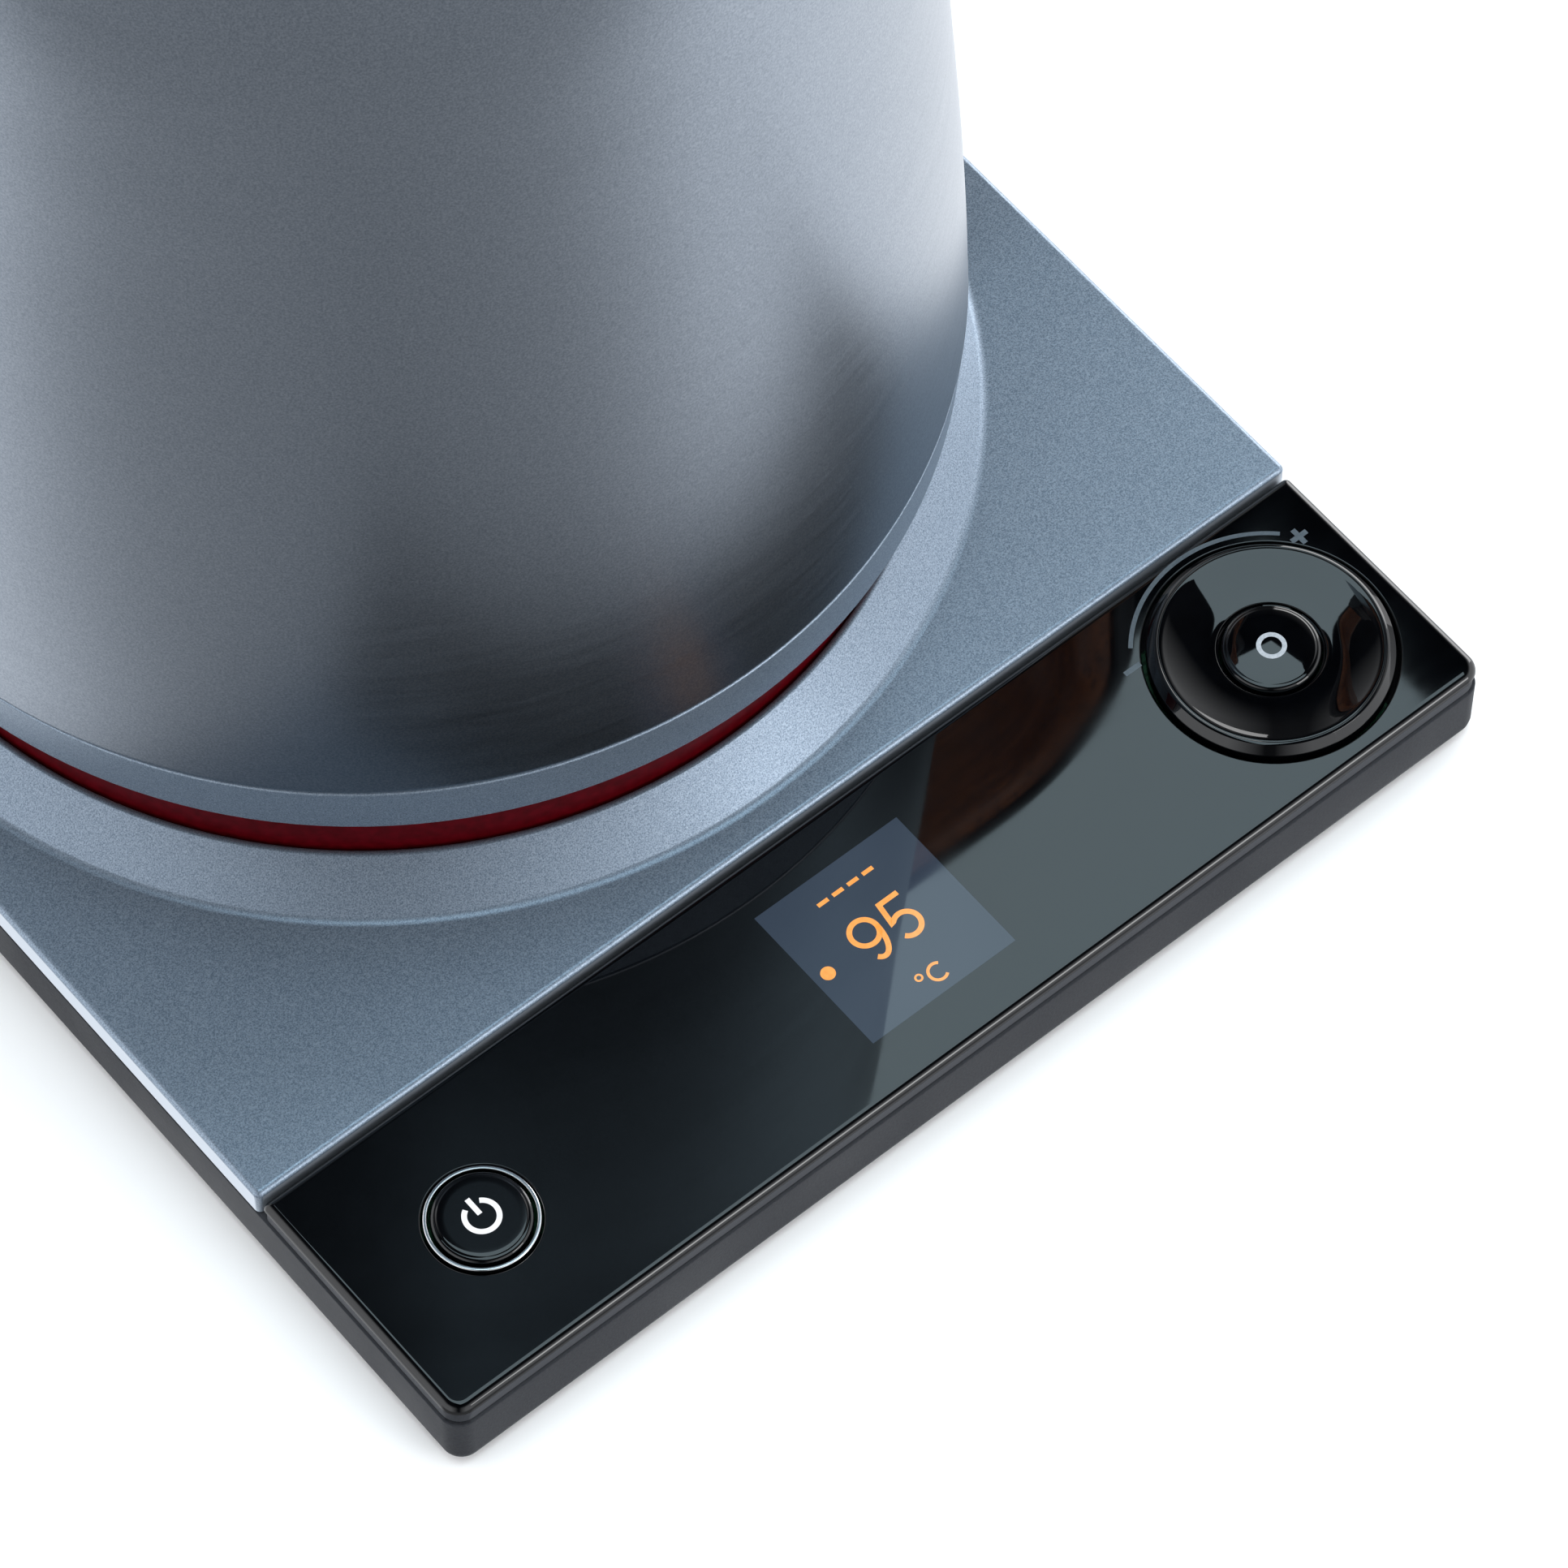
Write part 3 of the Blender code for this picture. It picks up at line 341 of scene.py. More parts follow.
class Nodes:
    """A material with one Principled shader and the texture nodes that vary it."""

    def __init__(self, name, colour, roughness, metallic=0.0, **sockets):
        self.material = bpy.data.materials.new(name)
        self.material.use_nodes = True
        self.tree = self.material.node_tree
        self.shader = self.tree.nodes["Principled BSDF"]
        self.shader.inputs["Base Color"].default_value = (*colour, 1)
        self.shader.inputs["Roughness"].default_value = roughness
        self.shader.inputs["Metallic"].default_value = metallic
        for socket, value in sockets.items():
            self.shader.inputs[socket.replace("_", " ")].default_value = value
        self.place = self.tree.nodes.new("ShaderNodeTexCoord").outputs["Object"]
        self.bumped = None

    def link(self, a, b):
        self.tree.links.new(a, b)

    def stretched(self, scale):
        node = new_node(self.tree, "Mapping", Scale=scale)
        self.link(self.place, node.inputs["Vector"])
        return node.outputs["Vector"]

    def noise(self, scale, detail=2.0, roughness=0.5, vector=None, distortion=0.0):
        node = new_node(self.tree, "TexNoise", Scale=scale, Detail=detail, Roughness=roughness,
                        Distortion=distortion)
        self.link(vector or self.place, node.inputs["Vector"])
        return node.outputs["Fac"]

    def ranged(self, value, low, high, from_low=0.3, from_high=0.7):
        return ranged(self.tree, value, from_low, from_high, low, high)

    def mixed(self, factor, a, b):
        """Colour from a to b, each a colour or a socket, by factor."""
        node = self.tree.nodes.new("ShaderNodeMix")
        node.data_type = "RGBA"
        self.link(factor, node.inputs["Factor"])
        for socket, value in ((node.inputs[6], a), (node.inputs[7], b)):
            if isinstance(value, tuple):
                socket.default_value = (*value, 1)
            else:
                self.link(value, socket)
        return node.outputs[2]

    def edges(self, low=0.53, high=0.60):
        """1 on convex edges, 0 on flats; the mask for lighter edges, partly wear and partly painted highlight.
        """
        node = self.tree.nodes.new("ShaderNodeNewGeometry")
        return self.ranged(node.outputs["Pointiness"], 0.0, 1.0, low, high)

    def colour(self, value):
        self.link(value, self.shader.inputs["Base Color"])

    def roughness(self, value):
        self.link(value, self.shader.inputs["Roughness"])

    def bump(self, height, distance, strength=1.0):
        node = new_node(self.tree, "Bump", Distance=distance, Strength=strength)
        self.link(height, node.inputs["Height"])
        if self.bumped:
            self.link(self.bumped, node.inputs["Normal"])
        self.bumped = node.outputs["Normal"]
        self.link(self.bumped, self.shader.inputs["Normal"])


def metallic_paint():
    """Satin metallic paint: fine bright flakes in a blue-grey binder, painted lighter on its convex edges,
    partly as wear and partly as a painted highlight.
    """
    n = Nodes("blue_grey_paint", (0.12, 0.16, 0.21), 0.4, 0.68, Coat_Weight=0.12, Coat_Roughness=0.25)
    flakes = n.noise(5200, 1.0)
    clouds = n.noise(34, 3.0)
    body = n.mixed(n.ranged(flakes, 0, 1, 0.28, 0.74), (0.120, 0.160, 0.212), (0.280, 0.340, 0.412))
    # Convex edges painted a paler blue-grey: partly edge wear, partly a painted highlight of the rolled edges.
    n.colour(n.mixed(n.edges(), body, (0.42, 0.47, 0.53)))
    n.roughness(n.ranged(clouds, 0.36, 0.44))
    n.bump(flakes, 0.035 * MM, 0.35)
    n.bump(n.noise(900, 2.0), 0.02 * MM, 0.3)
    return n.material


def satin_steel():
    """Bead-blasted steel: a fine dense grain, with faint level bands in its sheen."""
    n = Nodes("satin_steel", (0.3, 0.34, 0.39), 0.36, 1.0)
    grain = n.noise(3600, 2.0, 0.6)
    drawn = n.noise(60, 4.0, 0.6, n.stretched((1.0, 1.0, 14.0)))
    body = n.mixed(n.ranged(grain, 0, 1, 0.34, 0.68), (0.185, 0.215, 0.255), (0.275, 0.310, 0.355))
    # Convex edges painted paler: partly wear, partly a painted highlight.
    n.colour(n.mixed(n.edges(), body, (0.55, 0.58, 0.62)))
    n.roughness(n.ranged(drawn, 0.30, 0.34))
    n.bump(grain, 0.03 * MM, 0.35)
    return n.material


def bright_steel():
    """Polished steel with faint level lines."""
    n = Nodes("bright_steel", (0.72, 0.73, 0.74), 0.16, 1.0)
    lines = n.noise(420, 5.0, 0.7, n.stretched((1.0, 1.0, 22.0)))
    n.colour(n.mixed(n.ranged(lines, 0, 1), (0.62, 0.63, 0.65), (0.78, 0.79, 0.80)))
    n.roughness(n.ranged(n.noise(90, 4.0), 0.12, 0.24))
    n.bump(lines, 0.01 * MM, 0.2)
    return n.material


def moulded(name, low, high, roughness, grain_scale, grain_depth, strength=0.5, shine=0.3):
    """Moulded plastic with a spark-eroded grain, painted lighter on its convex edges: partly rubbing, partly a
    painted highlight.
    """
    n = Nodes(name, low, roughness, Specular_IOR_Level=shine)
    grain = n.noise(grain_scale, 3.0, 0.65)
    body = n.mixed(n.ranged(grain, 0, 1), low, high)
    # Convex edges painted lighter than the grain: partly rubbing, partly a painted highlight.
    n.colour(n.mixed(n.edges(), body, tuple(c * 1.35 + 0.003 for c in high)))
    n.roughness(n.ranged(n.noise(45, 3.0), roughness - 0.07, roughness + 0.07))
    n.bump(grain, grain_depth, strength)
    return n.material


def gloss_black():
    """Polished black: nearly flat, with a faint mottle and a trace of wiping marks."""
    n = Nodes("gloss_black", (0.0045, 0.005, 0.006), 0.05, 0.0, IOR=1.5)
    n.colour(n.mixed(n.ranged(n.noise(260, 3.0), 0, 1), (0.0004, 0.0005, 0.0008), (0.0009, 0.0011, 0.0016)))
    wipes = n.noise(30, 5.0, 0.6, n.stretched((1.0, 3.0, 1.0)), 0.6)
    n.roughness(n.ranged(wipes, 0.015, 0.045))
    n.bump(n.noise(75, 1.0), 0.012 * MM, 0.12)
    return n.material


def red_silicone():
    """Deep red silicone with a soft mottle."""
    n = Nodes("red_silicone", (0.10, 0.002, 0.006), 0.42, Specular_IOR_Level=0.08)
    mottle = n.noise(700, 3.0)
    n.colour(n.mixed(n.ranged(mottle, 0, 1), (0.050, 0.0003, 0.0016), (0.085, 0.0006, 0.0036)))
    n.roughness(n.ranged(n.noise(60, 2.0), 0.36, 0.50))
    n.bump(mottle, 0.03 * MM, 0.3)
    return n.material


def brown_grip():
    """Oiled dark wood with its figure along the handle."""
    n = Nodes("brown_grip", (0.10, 0.035, 0.014), 0.38, Coat_Weight=0.15, Coat_Roughness=0.2)
    sweep = n.stretched((1.0, 11.0, 1.0))
    figure = n.noise(62, 6.0, 0.62, sweep, 0.8)
    pores = n.noise(420, 3.0, 0.6, sweep)
    body = n.mixed(n.ranged(figure, 0, 1), (0.120, 0.038, 0.012), (0.420, 0.140, 0.042))
    n.colour(n.mixed(n.ranged(pores, 0, 1, 0.52, 0.70), body, (0.022, 0.008, 0.004)))
    n.roughness(n.ranged(pores, 0.32, 0.52))
    n.bump(pores, 0.06 * MM, 0.4)
    return n.material


def green_board():
    """Green circuit board with a raised grid of tracks."""
    n = Nodes("green_board", (0.012, 0.09, 0.04), 0.4)
    tracks = new_node(n.tree, "TexBrick", Scale=170, Mortar_Size=0.09, Color1=(0.010, 0.075, 0.034, 1),
                      Color2=(0.013, 0.092, 0.042, 1), Mortar=(0.030, 0.160, 0.075, 1))
    n.link(n.place, tracks.inputs["Vector"])
    n.colour(tracks.outputs["Color"])
    n.roughness(n.ranged(n.noise(200, 2.0), 0.32, 0.46))
    n.bump(tracks.outputs["Fac"], 0.02 * MM, 0.4)
    return n.material


def plain_metal(name, low, high, roughness, grain):
    """Bare metal, a little uneven in colour and polish."""
    n = Nodes(name, low, roughness, 1.0)
    figure = n.noise(grain, 4.0, 0.6)
    n.colour(n.mixed(n.ranged(figure, 0, 1), low, high))
    n.roughness(n.ranged(n.noise(grain / 6, 2.0), roughness - 0.06, roughness + 0.10))
    n.bump(figure, 0.02 * MM, 0.35)
    return n.material


def display_face():
    """Backlit face of the display: dim blue-grey, with a slightly uneven glow."""
    n = Nodes("display_face", (0.006, 0.009, 0.013), 0.03, Emission_Strength=1.0)
    glow = n.mixed(n.ranged(n.noise(60, 1.0), 0, 1), (0.022, 0.032, 0.052), (0.028, 0.039, 0.061))
    n.link(glow, n.shader.inputs["Emission Color"])
    n.roughness(n.ranged(n.noise(40, 3.0), 0.015, 0.045))
    return n.material


def lit(name, low, high, strength):
    """A lit sign: its brightness varies a little along its strokes."""
    n = Nodes(name, tuple(c * 0.1 for c in low), 0.1, Emission_Strength=strength)
    n.link(n.mixed(n.ranged(n.noise(1500, 2.0), 0, 1), low, high), n.shader.inputs["Emission Color"])
    return n.material


def printed(name, low, high):
    """A printed mark."""
    n = Nodes(name, low, 0.12)
    n.colour(n.mixed(n.ranged(n.noise(2500, 2.0), 0, 1), low, high))
    n.roughness(n.ranged(n.noise(400, 2.0), 0.08, 0.16))
    return n.material


FINISH = {
    "blue_grey_paint": metallic_paint(),
    "satin_steel": satin_steel(),
    "bright_steel": bright_steel(),
    "charcoal_plastic": moulded("charcoal_plastic", (0.017, 0.019, 0.023), (0.031, 0.033, 0.038),
                                0.55, 3000, 0.05 * MM, shine=0.06),
    "gloss_black": gloss_black(),
    "black_plastic": moulded("black_plastic", (0.012, 0.012, 0.014), (0.024, 0.024, 0.027),
                             0.42, 2600, 0.02 * MM, 0.35),
    "red_silicone": red_silicone(),
    "grey_rubber": moulded("grey_rubber", (0.036, 0.036, 0.037), (0.060, 0.060, 0.060),
                           0.78, 1800, 0.05 * MM, 0.6),
    "brown_grip": brown_grip(),
    "green_board": green_board(),
    "contact_brass": plain_metal("contact_brass", (0.60, 0.40, 0.14), (0.78, 0.56, 0.25), 0.28, 800),
    "cast_aluminium": plain_metal("cast_aluminium", (0.50, 0.50, 0.51), (0.68, 0.68, 0.68), 0.48, 1100),
    "display_glass": display_face(),
    "ribbon_grey": moulded("ribbon_grey", (0.34, 0.34, 0.35), (0.46, 0.46, 0.46), 0.55, 1500,
                           0.02 * MM),
}
ORANGE = lit("lit_orange", (0.86, 0.33, 0.065), (0.96, 0.40, 0.09), 1.05)
WHITE = lit("lit_white", (0.86, 0.88, 0.92), (0.95, 0.96, 1.0), 0.95)
PALE = printed("pale_print", (0.27, 0.29, 0.32), (0.36, 0.38, 0.41))
DIM = printed("dim_print", (0.050, 0.064, 0.078), (0.066, 0.082, 0.098))


# --- power base -----------------------------------------------------------
BASE = span_of("base_tray")
FOOT_AT = [centre_of(f"foot_{i}") for i in (1, 2, 3, 4)]
SCREW_AT = [centre_of(f"tray_screw_{i}") for i in (1, 2, 3, 4)]


def tray():
    """Lower housing with softened edges, its foot pockets, screw ways and cable inlet."""
    floor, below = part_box("base_tray")[0].z, -1 * MM
    head_r, head_z, shank_r, shank_z = 3.5 * MM, 2.2 * MM, 1.7 * MM, 6 * MM
    inlet_z, reach = 6.6 * MM, 6 * MM
    made = plate("base_tray_fine", BASE, [CORNER_R] * 4, [
        (0.9 * MM, floor), (0.45 * MM, floor + 0.2 * MM), (0.15 * MM, floor + 0.7 * MM),
        (0, floor + 1.5 * MM), *rolled(0.25 * MM, TRAY_TOP, 3),
        (1.8 * MM, TRAY_TOP), (2.0 * MM, TRAY_TOP - 0.2 * MM), (2.0 * MM, floor + 2.0 * MM)])
    cuts = [upright("pocket", at, 6.8 * MM, below, 2.4 * MM) for at in FOOT_AT]
    cuts += [lathe("way", [(0, below), (head_r, below), (head_r, head_z), (shank_r, head_z),
                           (shank_r, shank_z), (0, shank_z)], at, 40) for at in SCREW_AT]
    cuts.append(rod("inlet", (AXIS.x, BASE[3] - reach, inlet_z), (AXIS.x, BASE[3] + reach, inlet_z),
                    3.1 * MM))
    return fine(combine(made, cuts), "base_tray")


def plinth_outline():
    """Raised ring, from outside in: a concave foot, a slope and a round crest."""
    crest_z, fillet, crest = PLATE_Z + PLINTH_H, 2.2 * MM, 0.7 * MM
    slope = math.atan2(PLINTH_H, PLINTH_R - RECESS_R - crest)
    foot = [(PLINTH_R - fillet * math.sin(slope * i / 10), PLATE_Z + fillet * (1 - math.cos(slope * i / 10)))
            for i in range(11)]
    turns = [math.pi / 2 - slope + (math.pi / 2 + slope) * i / 12 for i in range(13)]
    return foot + [(RECESS_R + crest + crest * math.cos(t), crest_z - crest + crest * math.sin(t))
                   for t in turns]


def cover():
    """Painted cover with its rolled edge, the plinth ring, the recess and the hollow under them."""
    span = span_of("top_cover")
    low, wall, root_z = TRAY_TOP + SEAM, 1.8 * MM, PLATE_Z - 1 * MM
    made = plate("top_cover_fine", span, [INNER_CORNER_R] * 2 + [CORNER_R] * 2,
                 [(0.2 * MM, low), (0, low + 0.2 * MM), *rolled(0.9 * MM, PLATE_Z)])
    recess = [(r * MM, RECESS_Z) for r in RECESS_ROWS]
    ring = lathe("ring", [*plinth_outline(), (RECESS_R, RECESS_Z + 0.5 * MM),
                          (RECESS_R - 0.5 * MM, RECESS_Z), *recess,
                          (recess[-1][0], root_z), (PLINTH_R, root_z)], AXIS)
    combine(made, [ring], "UNION")
    hollow = plate("hollow", inset(span, wall), [1.2 * MM] * 4, [(0, low - 3 * MM), (0, PLATE_Z - wall)])
    vault_r, vault_z = 73.5 * MM, 10 * MM
    vault = lathe("vault", [(0, vault_z), (vault_r, vault_z), (vault_r, 15 * MM),
                            (70 * MM, RECESS_Z - wall), (0, RECESS_Z - wall)], AXIS, 96)
    well = upright("well", AXIS, 19.3 * MM, 12 * MM, 22 * MM, 96)
    return fine(combine(made, [hollow, vault, well]), "top_cover")


def flared(name, place, radius):
    """Cutter for a hole in the panel whose edge is rounded over."""
    lip, below, above = 0.25 * MM, 10 * MM, PANEL_Z + 1 * MM
    edge = [(radius + lip * (1 - math.cos(math.radians(a))), PANEL_Z - lip + lip * math.sin(math.radians(a)))
            for a in (0, 22.5, 45, 67.5, 90)]
    return lathe(name, [(0, below), (radius, below), *edge, (radius + lip, above), (0, above)],
                 place, AROUND_SMALL)


def window_block(name, side, z0, z1):
    """A square block over the display, between two heights."""
    half = side / 2
    return loft(name, [[(DISPLAY_AT.x + sx * half, DISPLAY_AT.y + sy * half, z)
                        for sx, sy in ((-1, -1), (1, -1), (1, 1), (-1, 1))] for z in (z0, z1)])


def panel():
    """Glossy strip with its holes, the lit pane in its window, and the dark carrier under it."""
    span, low = span_of("control_panel"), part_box("control_panel")[0].z
    corners = [CORNER_R] * 2 + [INNER_CORNER_R] * 2
    made = plate("control_panel_fine", span, corners,
                 [(0.2 * MM, low), *rolled(PANEL_Z - low, PANEL_Z, 12)[1:]])
    combine(made, [flared("dial_hole", DIAL_AT, 16.8 * MM), flared("power_hole", POWER_AT, 7.7 * MM),
                   window_block("window", DISPLAY_SIDE + 0.9 * MM, 10 * MM, 20 * MM)])
    fine(made, "control_panel")
    pane = window_block("display_window", DISPLAY_SIDE + 0.88 * MM, PANEL_Z - 0.7 * MM,
                        PANEL_Z + 0.002 * MM)
    detail(pane, "control_panel", FINISH["display_glass"])
    foot_z, top_z, below, above = TRAY_TOP + SEAM, top_of("panel_carrier"), 8 * MM, 20 * MM
    carrier = plate("panel_carrier_fine", inset(span, 0.2 * MM), corners,
                    [(0.15 * MM, foot_z), (0, foot_z + 0.15 * MM), *rolled(0.25 * MM, top_z, 3)])
    ways = [upright("way", place, r * MM, below, above) for r, place in ((17.2, DIAL_AT), (8.2, POWER_AT))]
    ways.append(window_block("way", DISPLAY_SIDE + 6 * MM, below, above))
    ways.append(plate("hollow", inset(span, 2.2 * MM), [1 * MM] * 4,
                      [(0, TRAY_TOP - 1 * MM), (0, top_z - 0.95 * MM)]))
    return fine(combine(carrier, ways), "panel_carrier")


# --- signs and prints -----------------------------------------------------
def arc(x, y, radius, start, end, tall=None, steps=40):
    """Points on an arc from start to end degrees; tall is its radius along y."""
    return [(x + radius * math.cos(math.radians(start + (end - start) * i / steps)),
             y + (tall or radius) * math.sin(math.radians(start + (end - start) * i / steps)))
            for i in range(steps + 1)]


def ribbon(bm, points, width, z0, z1, closed=False):
    """A flat stroke of one width along points, between two heights."""
    count = len(points)
    sides = []
    for i, point in enumerate(points):
        here = Vector(point)
        back = Vector(points[i - 1]) if i or closed else None
        ahead = Vector(points[(i + 1) % count]) if i < count - 1 or closed else None
        ways = [w.normalized() for w in ((here - back) if back else None,
                                         (ahead - here) if ahead else None) if w]
        normals = [Vector((-w.y, w.x)) for w in ways]
        across = (normals[0] + normals[-1]).normalized()
        across *= width / 2 / max(across.dot(normals[0]), 0.5)
        sides.append((here + across, here - across))
    layers = [[[bm.verts.new((p.x, p.y, z)) for p in pair] for pair in sides] for z in (z0, z1)]
    low, high = layers
    last = count if closed else count - 1
    for i in range(last):
        j = (i + 1) % count
        bm.faces.new((high[i][0], high[j][0], high[j][1], high[i][1]))
        bm.faces.new((low[i][0], low[i][1], low[j][1], low[j][0]))
        bm.faces.new((low[i][0], low[j][0], high[j][0], high[i][0]))
        bm.faces.new((low[i][1], high[i][1], high[j][1], low[j][1]))
    if not closed:
        bm.faces.new((low[0][0], high[0][0], high[0][1], low[0][1]))
        bm.faces.new((low[-1][0], low[-1][1], high[-1][1], high[-1][0]))


def sign(name, strokes, z0, z1, like, mat):
    """strokes are (points, width, closed)."""
    bm = bmesh.new()
    for points, width, closed in strokes:
        ribbon(bm, points, width, z0, z1, closed)
    return detail(new_object(name, bm), like, mat)


def ring_points(x, y, radius):
    """Points all the way round a circle."""
    return arc(x, y, radius, 0, 360, steps=64)[:-1]


def display():
    """What the lit face shows: number, dot, unit sign and a row of bars, placed by shares of its side."""
    left, front = DISPLAY_AT.x - DISPLAY_SIDE / 2, DISPLAY_AT.y - DISPLAY_SIDE / 2

    def at(u, v):
        return left + u * DISPLAY_SIDE, front + v * DISPLAY_SIDE

    tall, wide, stroke, gap = 6.9 * MM, 4.6 * MM, 0.74 * MM, 0.75 * MM
    z0, z1 = PANEL_Z - 0.05 * MM, PANEL_Z + 0.008 * MM
    x, y = at(0.296, 0.505)
    y -= tall / 2
    bowl = wide / 2 - stroke / 2
    nine_x, bowl_y = x + wide / 2, y + tall - wide / 2
    nine = [(ring_points(nine_x, bowl_y, bowl), stroke, True),
            (arc(nine_x, bowl_y, bowl, 0, -118, bowl_y - y - stroke / 2), stroke, False)]
    five_x, flag_y = x + wide + gap, y + tall - stroke / 2
    belly = (0.63 * tall - stroke) / 2
    five = [([(five_x + 0.86 * wide, flag_y), (five_x + 0.20 * wide, flag_y),
              (five_x + 0.11 * wide, y + 0.50 * tall),
              *arc(five_x + 0.44 * wide, y + belly + stroke / 2, belly, 132, -140)], stroke, False)]
    sign("display_number", nine + five, z0, z1, "display_module", ORANGE)
    dot = upright("display_dot", Vector((*at(0.074, 0.485), 0)), 1.0 * MM, z0, z1, 48)
    detail(dot, "display_module", ORANGE)
    sign("display_unit", [(arc(*at(0.555, 0.105), 1.25 * MM, 48, 312), 0.42 * MM, False),
                          (ring_points(*at(0.446, 0.140), 0.45 * MM), 0.28 * MM, True)],
         z0, z1, "display_module", ORANGE)
    bar_x, bar_y = at(0.306, 0.854)
    pitch, bar = 2.45 * MM, 1.7 * MM
    sign("display_bars", [([(bar_x + pitch * k, bar_y), (bar_x + pitch * k + bar, bar_y)], 0.6 * MM, False)
                          for k in range(4)], z0, z1, "display_module", ORANGE)


def panel_prints():
    """Minus, plus and the sense arc behind the dial, printed on the gloss."""
    radius, width, half = 18.15 * MM, 0.75 * MM, 1.3 * MM
    z0, z1 = PANEL_Z - 0.02 * MM, PANEL_Z + 0.006 * MM

    def on_ring(angle):
        turn = math.radians(angle)
        return DIAL_AT.x + radius * math.cos(turn), DIAL_AT.y + radius * math.sin(turn)

    sense = arc(DIAL_AT.x, DIAL_AT.y, radius, 139, 45, steps=60)
    strokes = [(sense, width * 0.8, False)]
    strokes += [([(x - half, y), (x + half, y)], width, False) for x, y in (on_ring(149), on_ring(37))]
    x, y = on_ring(37)
    strokes += [([(x, y + way * width / 2), (x, y + way * half)], width, False) for way in (-1, 1)]
    sign("dial_sense_prints", strokes, z0, z1, "control_panel", DIM)


# --- controls -------------------------------------------------------------
def dial():
    """Dial cap: a round skirt, a rolled rim and a dish that falls to the bore of its button."""
    low, high = heights_of("temperature_dial")
    skirt, hub, bore, rim, dish = 16.2 * MM, 8.2 * MM, 6.8 * MM, 15.15 * MM, 7.3 * MM
    skirt_z, floor = 13.2 * MM, 15.08 * MM
    dish_r, dish_z = rim - 0.55 * MM, high - 0.05 * MM
    hollow = [(dish_r - (dish_r - dish) * i / 12,
               dish_z - (dish_z - floor) * math.sin(math.pi / 2 * i / 12) ** 0.9) for i in range(13)]
    outline = filleted([(bore, low, 0), (hub, low, 0), (hub, skirt_z, 0), (skirt, skirt_z, 0.1 * MM),
                        (skirt, PANEL_Z + 0.55 * MM, 0.5 * MM), (rim + 0.12 * MM, high - 0.15 * MM, 0.2 * MM),
                        (rim - 0.28 * MM, high + 0.02 * MM, 0.22 * MM)], 5)
    outline += hollow + [(dish - 0.1 * MM, floor - 0.02 * MM), (dish - 0.22 * MM, floor - 0.15 * MM),
                         (dish - 0.25 * MM, 14.6 * MM), (bore, 14.5 * MM)]
    return fine(lathe("temperature_dial_fine", outline, DIAL_AT), "temperature_dial", angle=40)


def push_cap(node, place, radius, top_r, top_z, crown):
    """Button cap on its stem: an undercut, a round shoulder and a top crowned by this much."""
    low, stem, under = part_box(node)[0].z, 2.5 * MM, 12.4 * MM
    shoulder = [(top_r + (radius - top_r) * math.sin(math.radians(a)),
                 top_z - 0.62 * MM + 0.52 * MM * math.cos(math.radians(a))) for a in (90, 70, 50, 30, 10)]
    top = [(top_r - 0.05 * MM, top_z - 0.1 * MM), (top_r - 0.14 * MM, top_z - 0.04 * MM),
           (top_r - 0.3 * MM, top_z)]
    crowned = [((top_r - 0.3 * MM) * (1 - i / 6), top_z + crown * math.sin(math.pi / 2 * i / 6))
               for i in range(1, 6)]
    outline = [(0, low), (stem, low), (stem, under), (radius - 0.2 * MM, under),
               (radius, under + 0.2 * MM), *shoulder, *top, *crowned, (0, top_z + crown)]
    return fine(lathe(f"{node}_fine", outline, place, AROUND_SMALL), node, angle=50)


def controls():
    """Dial, both buttons, the power button's trim ring and the two button signs."""
    dial()
    push_cap("dial_button", DIAL_AT, 6.5 * MM, 5.9 * MM, 15.8 * MM, 0.2 * MM)
    push_cap("power_button", POWER_AT, 6.45 * MM, 5.85 * MM, 15.5 * MM, 0.0)
    low, high = heights_of("power_trim_ring")
    inner, outer = 6.9 * MM, 7.4 * MM
    ring = lathe("power_trim_ring_fine", filleted([
        (inner, low, 0), (outer, low, 0), (outer, high, 0.18 * MM), (inner, high, 0.14 * MM)]),
        POWER_AT, AROUND_SMALL)
    fine(ring, "power_trim_ring", angle=50)
    dial_z, power_z, stroke = top_of("dial_button"), top_of("power_button"), 0.72 * MM
    x, y = POWER_AT.x, POWER_AT.y
    sign("dial_button_sign", [(ring_points(DIAL_AT.x, DIAL_AT.y, 1.68 * MM), 0.64 * MM, True)],
         dial_z - 0.15 * MM, dial_z - 0.005 * MM, "dial_button", PALE)
    sign("power_button_sign", [(arc(x, y, 2.2 * MM, 120, 420, steps=64), stroke, False),
                               ([(x, y + 0.35 * MM), (x, y + 3.0 * MM)], stroke, False)],
         power_z - 0.10 * MM, power_z + 0.012 * MM, "power_button", WHITE)


# --- kettle ---------------------------------------------------------------
def seat():
    """Red ring that the kettle stands on, rounded at its top."""
    low, high = heights_of("seat_ring")
    outer, inner = RECESS_R - SEAM, 66.8 * MM
    fine(lathe("seat_ring_fine", filleted([(inner, low, 0.2 * MM), (outer, low, 0.2 * MM),
                                           (outer, high, 0.9 * MM), (inner, high, 0.9 * MM)], 6), AXIS),
         "seat_ring")


